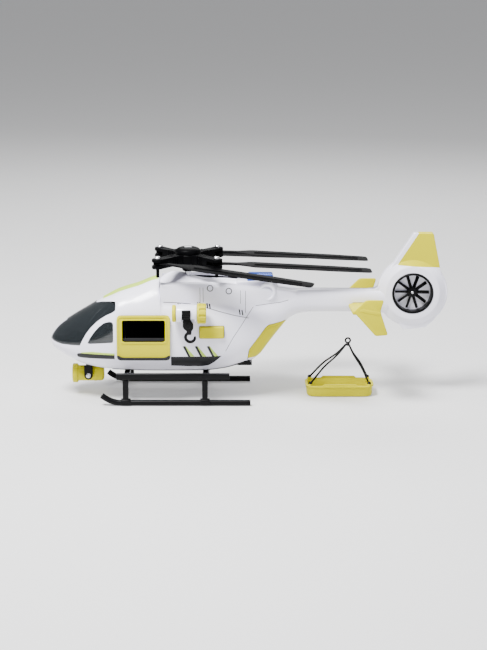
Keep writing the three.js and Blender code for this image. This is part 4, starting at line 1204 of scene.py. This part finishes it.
def landing_gear(black):
    """Two skids with steps above them, on two cross tubes with clamped feet."""
    for side, name in ((-1, "left"), (1, "right")):
        y = side * 40
        path = [
            (1.8, y, 2.6), (-20, y, 2.6), (-60, y, 2.6), (-100, y, 2.6), (-112, y, 2.6), (-118, y, 2.9),
            (-123.6, y, 4.5), (-128.4, y, 7.1), (-131.6, y, 9.5),
        ]
        skid = pipe(f"skid_{name}_tube", path, 2.68, 32)
        soften(skid, 0.5, 3, 50)
        cut(skid, block("ground", (-150, y - 6, -5), (20, y + 6, 0.02)))
        place(skid, "airframe", black, f"skid_{name}")
        step = soften(block(f"step_{name}_bar", (-118, y - 2.6, 24.2), (-17, y + 2.6, 29.7)), 0.6, 3)
        place(step, "airframe", black, f"step_{name}")
    for x, name in ((-110, "front"), (-39, "rear")):
        half = [
            (32, 25.2), (37, 23.9), (42.4, 23.9), (42.4, 6.4), (43.4, 5), (43.4, 1.6), (36.6, 1.6), (36.6, 5),
            (37.6, 6.4), (37.6, 18.6), (31, 21.8),
        ]
        outline = half + [(-a, b) for a, b in reversed(half)]
        radii = [4, 4, 1.5, 1, 1, 0.5, 0.5, 1, 1, 4, 4]
        leg = prism(f"cross_tube_{name}_bar", rounded(outline, radii + radii[::-1], 6), x - 2.5, x + 2.5, "x")
        soften(leg, 0.9, 3)
        for y in (-40, 40):
            add(leg, soften(block("clamp", (x - 4.4, y - 3.4, 1.6), (x + 4.4, y + 3.4, 6)), 0.8, 3))
            cut(leg, rod("skid_seat", 2.75, -200, 50, (0, y, 2.6), "x", 48))
        place(leg, "airframe", black, f"cross_tube_{name}")


# Main rotor ------------------------------------------------------------

MAST_X = -54.5
ARM_Z = 127
PIVOT = 37  # distance of the blade bolts from the mast
LENGTH = 141.5  # of a blade, from its bolt to its tip
DROOP = math.tan(math.radians(5))
# Direction of each arm from the mast, and of the folded blade on it, in degrees.
ARMS = {"front_left": (225, -15), "front_right": (135, 15), "rear_left": (315, 10), "rear_right": (45, 10)}


def hub_arm(angle):
    """One arm with a forked end, a ribbed sleeve and a round eye."""
    half = [(3, 6.2), (17, 4.0), (26, 4.6), (PIVOT, 5.2)]
    outline = [(x, -y) for x, y in half] + half[::-1]
    arm = prism("arm", rounded(outline, [1, 6, 6, 1, 1, 6, 6, 1]), -4.4, 4.4, "z")
    soften(arm, 0.7, 3)
    eye = lathe("eye", mirror_rows([(0, -4.4), (4.8, -4.4), (5.2, -4)]), (PIVOT, 0, 0), "z", 40)
    add(arm, eye)
    for x in (15.5, 18, 20.5):
        add(arm, soften(block("rib", (x, -5.0, -4.7), (x + 1.3, 5.0, 4.7)), 0.35, 2))
    cut(arm, block("fork", (PIVOT - 8, -8, -1.7), (PIVOT + 10, 8, 1.7)))
    cut(arm, rod("bolt_hole", 1.75, -10, 10, (PIVOT, 0, 0), "z", 24))
    turn(arm, angle, "Z")
    return move(arm, MAST_X, 0, ARM_Z)


def hub():
    """A waisted barrel with four arms."""
    profile = [
        (0, 115.3), (4.6, 115.3), (5.2, 115.8), (6, 118.4), (7.4, 121), (9.6, 122.2), (10.9, 122.8),
        (11.5, 123.6), (11.5, 130.4), (10.9, 131.2), (0, 131.2),
    ]
    body = lathe("rotor_hub_star", profile, (MAST_X, 0, 0), "z", 96)
    add(body, *[hub_arm(angle) for angle, _ in ARMS.values()])
    return cut(body, rod("mast_room", 3.3, 100, 150, (MAST_X, 0, 0), "z", 40))


def blade(name):
    """A blade along +X from its bolt eye at the origin: cuff, droop after the root, rounded leading edge."""
    rings = []
    root, cuff, wing = np.linspace(-3.95, 0, 9), np.linspace(3, 26, 10), np.linspace(30, 138, 26)
    for s in [*root, *cuff, *wing, 139.3, 140.4, 141.1, LENGTH]:
        if s < 0:
            lead = trail = math.sqrt(max(16 - s * s, 0.02))
        else:
            half = float(np.interp(s, [0, 3, 10, 18, 32, 108, 138], [4, 3.9, 3.4, 3.4, 6.9, 6.9, 5.8]))
            tip = math.sqrt(max(1 - max((s - 138) / 4.05, 0) ** 2, 0.0)) if s > 138 else 1
            lead, trail = half - (1 - tip) * 2.0, half - (1 - tip) * 5.0
        thick = float(np.interp(s, [-4, 14, 30, 138, LENGTH], [1.1, 1.1, 1.1, 1.0, 0.75]))
        thin = float(np.interp(s, [10, 30], [1.0, 0.42]))
        sink = (math.sqrt((s - 8) ** 2 + 9) + (s - 8)) / 2 * DROOP
        twist = math.radians(float(np.interp(s, [12, 32], [0, 9])))
        cos, sin = math.cos(twist), math.sin(twist)
        shape = []
        for a in around(28):
            c, d = math.cos(a), math.sin(a)
            y = lead * abs(c) ** 0.75 if c > 0 else -trail * abs(c) ** 0.75
            share = (y + trail) / max(lead + trail, 1e-6)
            local = thick * (thin + (1 - thin) * min(share / 0.65, 1))
            height = math.copysign(abs(d) ** 0.7, d) * local
            shape.append((s, y * cos - height * sin, y * sin + height * cos - sink))
        rings.append(shape)
    obj = rings_solid(name, rings)
    path = [(s, -1.6, 0.98 - (s - 8) * DROOP) for s in np.linspace(34, 132, 12)]
    add(obj, tube("rib", path, 0.32, 8))
    cut(obj, rod("eye_hole", 1.75, -6, 6, (0, 0, 0), "z", 32))
    return obj


def rotor(black, steel):
    """Hub, cap with a small steel plate that paints the highlight on the dome, mast, and the four blades with
    their bolts.
    """
    place(hub(), "rotor", black, "rotor_hub")
    dome = [
        (0, 131.5), (11, 131.5), (11.5, 131.9), (11.5, 133.6), (11, 134.8), (9.6, 135.9), (7.8, 136.6),
        (5, 136.9), (0, 137),
    ]
    place(lathe("rotor_cap_dome", dome, (MAST_X, 0, 0), "z", 96), "rotor", black, "rotor_cap")
    # The steel plate stands for the bright highlight on top of the dome: a painted highlight.
    plate = prism("rotor_highlight_plate", oblong(MAST_X - 3.3, MAST_X + 3.3, -2.4, 2.4, 0.9), 136.4, 137.45, "z")
    place(soften(plate, 0.25, 2), "rotor", steel)
    rows = [(0, 100), (3, 100), (3, 130.6), (2.6, 131), (0, 131)]
    place(lathe("rotor_mast_rod", rows, (MAST_X, 0, 0), "z", 64), "rotor", steel, "rotor_mast")
    for name, (arm, folded) in ARMS.items():
        angle = math.radians(arm)
        x, y = MAST_X + PIVOT * math.cos(angle), PIVOT * math.sin(angle)
        piece = turn(blade(f"blade_{name}_wing"), folded, "Z")
        move(piece, x, y, ARM_Z)
        place(piece, f"blade_{name}", black, f"blade_{name}")
        rows = [(0, -12.5), (1.2, -12.5), (1.5, -12.2), (1.5, 4.6), (0, 4.6)]
        place(lathe(f"blade_pin_{name}", rows, (x, y, ARM_Z), "z", 32), "rotor", black, slot="steel")
        head = [(0, 4.7), (2.6, 4.7), (2.6, 5.9), (2.2, 6.4), (1.2, 6.6), (0, 6.6)]
        bolt = lathe(f"blade_bolt_{name}_head", head, (x, y, ARM_Z), "z", 32)
        cut(bolt, rod("socket", 1.0, 5.8, 7, (x, y, ARM_Z), "z", 6))
        place(bolt, "rotor", steel, f"blade_bolt_{name}")


# Tail ------------------------------------------------------------


def fan_vane(length, chord, thick, pitch, angle, y):
    """One vane, pitched about its length and turned about the fan's axis."""
    vane = block("vane", (4, -chord / 2, -thick / 2), (4 + length, chord / 2, thick / 2))
    soften(vane, thick * 0.4, 2)
    turn(vane, pitch, "X")
    turn(vane, angle, "Y")
    return move(vane, FAN[0], y, FAN[2])


def tail_fan(black, steel):
    """The duct's liner with its stator, and the ten-bladed fan on its axle."""
    profile = mirror_rows([(16.6, -8.2), (17.2, -8.4), (18.2, -8.4), (18.5, -8.1)])
    liner = lathe("fan_liner_ring", profile + [(16.5, 7), (16.5, -7)], FAN, "y", 128)
    stator = lathe("stator", [(0, 3), (4.2, 3), (4.6, 3.4), (4.6, 5.6), (3.8, 6.3), (0, 6.5)], FAN, "y", 48)
    add(stator, *[fan_vane(13, 2.4, 1.4, 0, angle, 4.75) for angle in (0, 120, 240)])
    add(liner, stator)
    cut(liner, rod("axle_room", 1.5, -20, 20, FAN, "y", 24))
    place(liner, "airframe", black, "fan_liner")
    rows = [(0, -4.5), (2, -4.4), (3.8, -3.7), (4.6, -2.4), (4.6, 2.2), (4.3, 2.5), (0, 2.5)]
    spinner = lathe("tail_fan_rotor", rows, FAN, "y", 64)
    add(spinner, *[fan_vane(11.4, 4.4, 1.0, 34, i * 36, -1) for i in range(10)])
    cut(spinner, rod("axle_room", 1.5, -20, 20, FAN, "y", 24))
    place(spinner, "tail_fan", black, "tail_fan")
    axle = lathe("fan_axle", [(0, -5.2), (0.9, -5.2), (1.2, -4.9), (1.2, 6.3), (0, 6.5)], FAN, "y", 32)
    place(axle, "airframe", steel, "tail_fan_axle")


def stabiliser(yellow):
    """A thin wing through the boom, with a swept plate on each tip."""
    half = [(94.4, 9), (90, 13.5), (92, 44), (117, 44), (117, 13.5), (112.6, 9)]
    radii = [1, 2, 1, 1, 2, 1]
    wing = prism("stabiliser_wing", rounded(mirror_rows(half), radii + radii[::-1], 5), 84.5, 87.5, "z")
    soften(wing, 0.9, 3)
    tip = [(92.7, 87.5), (112.3, 65.6), (123.3, 66.6), (116.2, 87.9), (119.2, 98.1), (103.5, 98.1)]
    tip = rounded(tip, [1.5, 4, 1.5, 5, 1.5, 6], 6)
    ridge = rounded([(97, 88), (116, 84), (117, 87.2), (100, 90.6)], 1.2, 5)
    for y in (-45, 45):
        plate = soften(prism("tip_plate", tip, y - 1.3, y + 1.3), 0.6, 3)
        middle = y + math.copysign(0.6, y)
        lug = soften(prism("lug", ridge, middle - 1.0, middle + 1.1), 0.7, 3)
        add(wing, plate, lug)
    place(wing, "airframe", yellow, "stabiliser")


# Button, stretcher, small hardware ------------------------------------------------------------


def sound_button(yellow):
    """A raised key with a soft edge and a slightly dished face."""
    x0, x1, z0, z1 = BUTTON
    face = -(side_y((x0 + x1) / 2, (z0 + z1) / 2) + 2.4)
    rings = []
    for d, behind in ((0.0, 6.0), (0.0, 1.2), (0.25, 0.5), (0.7, 0.1), (1.5, 0), (2.6, 0.12)):
        outline = oblong(x0 + d, x1 - d, z0 + d, z1 - d, max(1.6 - d * 0.4, 0.5), 6)
        rings.append([(x, face + behind, z) for x, z in outline])
    place(rings_solid("sound_button_key", rings), "sound_button", yellow, "sound_button")


def stretcher(yellow, black):
    """The loose stretcher: a shallow tub with a turned-out rim and raised sides, hung from a soft harness."""
    x0, x1, y0, y1 = 52, 114.5, -15, 17
    profile = [
        (3.4, 0), (1.9, 0.5), (1.3, 1.8), (0.9, 8.6), (0.1, 9.3), (0, 9.9), (0.3, 10.3), (1.0, 10.4),
        (2.3, 10.1), (2.9, 9.2), (3.4, 3.2), (4.4, 2.2), (6, 2.0),
    ]
    tub = domed("stretcher_tub_shell", plan_oblong(x0, x1, y0, y1, 11, 10), profile)
    for y in (y0 + 1.3, y1 - 1.3):
        side = [(66, 9), (101, 9), (98, 12), (69, 12)]
        add(tub, soften(prism("side", rounded(side, [0.3, 0.3, 1.2, 1.2]), y - 0.9, y + 0.9), 0.3, 2))
    corners = [(x, y) for x in (x0 + 4.5, x1 - 4.5) for y in (y0 + 4.0, y1 - 4.0)]
    for x, y in corners:
        add(tub, lathe("post", [(0, 8), (1.9, 8), (1.9, 11.4), (1.4, 12), (0, 12)], (x, y, 0), "z", 24))
    for x in (66, 76, 86, 96):
        add(tub, soften(block("rib", (x, y0 + 5, 1.5), (x + 2, y1 - 5, 2.7)), 0.3, 2))
    place(tub, "stretcher", yellow, "stretcher_tub")
    ax, ay, top = 90.8, 1.0, 53.0
    legs = []
    foot_rows = [(0, 12.1), (1.7, 12.1), (1.9, 12.5), (1.5, 13.3), (0.8, 13.8), (0, 13.8)]
    for x, y in corners:
        knee = (ax + (x - ax) * 0.28, ay + (y - ay) * 0.28, top - 16)
        middle = ((x + knee[0]) / 2, (y + knee[1]) / 2, 26.5)
        near = (ax + (x - ax) * 0.05, ay + (y - ay) * 0.05, top - 7)
        legs.append(pipe("leg", [(x, y, 12.1), middle, knee, near], 0.85, 14))
        legs.append(lathe("foot", foot_rows, (x, y, 0), "z", 24))
    rings = []
    sideways = np.array([0.0, 1.0, 0.0])
    for a in around(32):
        out = np.array([math.cos(a), 0, math.sin(a)])
        centre = np.array([ax, ay, top - 3.2]) + 2.2 * out
        rings.append([centre + 0.85 * (math.cos(b) * out + math.sin(b) * sideways) for b in around(14)])
    loop = rings_solid("loop", rings, closed=True)
    knot_rows = [(0, 44.6), (1.2, 44.8), (1.8, 45.6), (1.8, 46.6), (1.2, 47.4), (0, 47.6)]
    knot = lathe("knot", knot_rows, (ax, ay, 0), "z", 24)
    harness = add(legs[0], *legs[1:], knot, loop)
    harness.name = "stretcher_harness_strap"
    place(harness, "stretcher", black, "stretcher_harness", slot="black_cord")


def hardware(dark, steel, green, lens):
    """Finishes and round edges for the small CAD pieces that are shown as they are."""
    finishes = {
        "fuselage_screw_boom": steel, "battery_cover_screw": steel, "beacon_led": lens, "battery_left": green,
        "battery_right": green, "cabin_floor": dark, "instrument_panel": dark, "circuit_board": green,
        "button_dome": dark, "speaker": dark,
    }
    for name, material in finishes.items():
        obj = next(o for o in bpy.context.scene.objects if o.get("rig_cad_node") == name)
        obj.data.materials.clear()
        obj.data.materials.append(material)
        bevel = obj.modifiers.new("round", "BEVEL")
        bevel.width = 0.0002
        bevel.segments = 2
        bevel.limit_method = "ANGLE"


# Room ------------------------------------------------------------


def floor():
    """A pale plain floor, much wider than the view."""
    size = 60.0
    data = bpy.data.meshes.new("floor")
    corners = [(-size, -size, 0), (size, -size, 0), (size, size, 0), (-size, size, 0)]
    data.from_pydata(corners, [], [(0, 1, 2, 3)])
    obj = show("floor", data)
    made = Shader("floor", (0.62, 0.62, 0.62), 0.55, variation=0.01, grain=0.0)
    made.shader.inputs["Emission Color"].default_value = (0.9, 0.9, 0.9, 1)
    made.shader.inputs["Emission Strength"].default_value = 0.20
    data.materials.append(made.material)


def area_light(name, place_at, target, size, power, colour=(1, 1, 1)):
    """A soft rectangular light that faces its target. Its places and sizes are in metres."""
    data = bpy.data.lights.new(name, "AREA")
    data.shape = "RECTANGLE"
    data.size, data.size_y = size
    data.energy = power
    data.color = colour
    obj = show(name, data)
    obj.location = place_at
    obj.rotation_euler = (Vector(target) - Vector(place_at)).to_track_quat("-Z", "Y").to_euler()


def studio():
    """Dim surroundings and four soft lights."""
    world = bpy.data.worlds.new("studio")
    bpy.context.scene.world = world
    world.use_nodes = True
    back = world.node_tree.nodes["Background"]
    back.inputs["Color"].default_value = (0.95, 0.96, 1.0, 1)
    back.inputs["Strength"].default_value = 0.30
    middle = (0, 0, 0.07)
    area_light("key", (-0.45, -0.45, 1.2), middle, (0.5, 0.35), 56)
    area_light("fill", (0.9, -0.9, 0.7), middle, (0.8, 0.8), 6, (0.90, 0.89, 1))
    area_light("rim", (0.2, 1.1, 0.9), middle, (1.2, 0.5), 12)
    area_light("top", (0.0, 0.0, 1.3), middle, (0.9, 0.5), 8)


CAMERA_PLACE = (-0.0045, -1.5022, 0.4390)  # metres
CAMERA_TILT = 76  # degrees up from straight down


def camera():
    """Square to the port side, from a little above."""
    data = bpy.data.cameras.new("camera")
    data.sensor_width = 36
    data.lens = 94.15
    obj = show("camera", data)
    obj.location = CAMERA_PLACE
    obj.rotation_euler = (math.radians(CAMERA_TILT), 0, 0)
    bpy.context.scene.camera = obj


def build():
    """Materials first, then the toy from nose to tail, then the room."""
    white = Shader("white_plastic", WHITE, 0.24, coat=0.2).material
    yellow = Shader("yellow_plastic", YELLOW, 0.4, specular=0.12).material
    lime = Shader("lime_print", LIME, 0.35, coat=0.05).material
    print_black = Shader("black_print", INK, 0.4, grain=0.0, specular=0.25).material
    black = Shader("black_plastic", BLACK, 0.35, variation=0.12, grain=0.03, specular=0.1).material
    matt = Shader("rotor_black", DEEP_BLACK, 0.4, variation=0.12, grain=0.03, specular=0.02).material
    # Dark colour of the seats and small cabin parts, also used as painted shade on the inside of the skin and
    # the doors.
    dark = Shader("dark_interior_and_painted_shade", DARK, 0.65, variation=0.1, grain=0.1, specular=0.2).material
    pale = Shader("headrest_grey", (0.30, 0.31, 0.33), 0.5, variation=0.06, grain=0.1).material
    steel = Shader("steel", (0.62, 0.62, 0.64), 0.28, metallic=1.0, variation=0.06, grain=0.03).material
    green = Shader("green_board", (0.03, 0.16, 0.05), 0.5, variation=0.15, grain=0.08).material
    cord = Shader("black_cord", (0.02, 0.02, 0.022), 0.75, variation=0.15, grain=0.3, scale=2500).material
    glass = clear("smoked_glass", (0.010, 0.013, 0.015), 0.8)
    lens = clear("clear_lens", (0.75, 0.78, 0.8), 0.35)
    blue = clear("blue_lens", (0.01, 0.07, 0.42), 0.88, 0.06)
    fuselage(white, dark, yellow)
    rear_deck(white, blue)
    roof_stripe(lime)
    glazing(glass)
    side_doors(yellow, print_black, dark, white)
    tailgate(yellow, white)
    belly(black)
    cabin(dark, pale, yellow)
    decals(print_black, lime)
    winch(white, yellow, black, cord)
    searchlight(yellow, black, lens, steel)
    landing_gear(black)
    rotor(matt, steel)
    tail_fan(black, steel)
    stabiliser(yellow)
    sound_button(yellow)
    stretcher(yellow, black)
    hardware(dark, steel, green, lens)
    floor()
    studio()
    camera()


build()
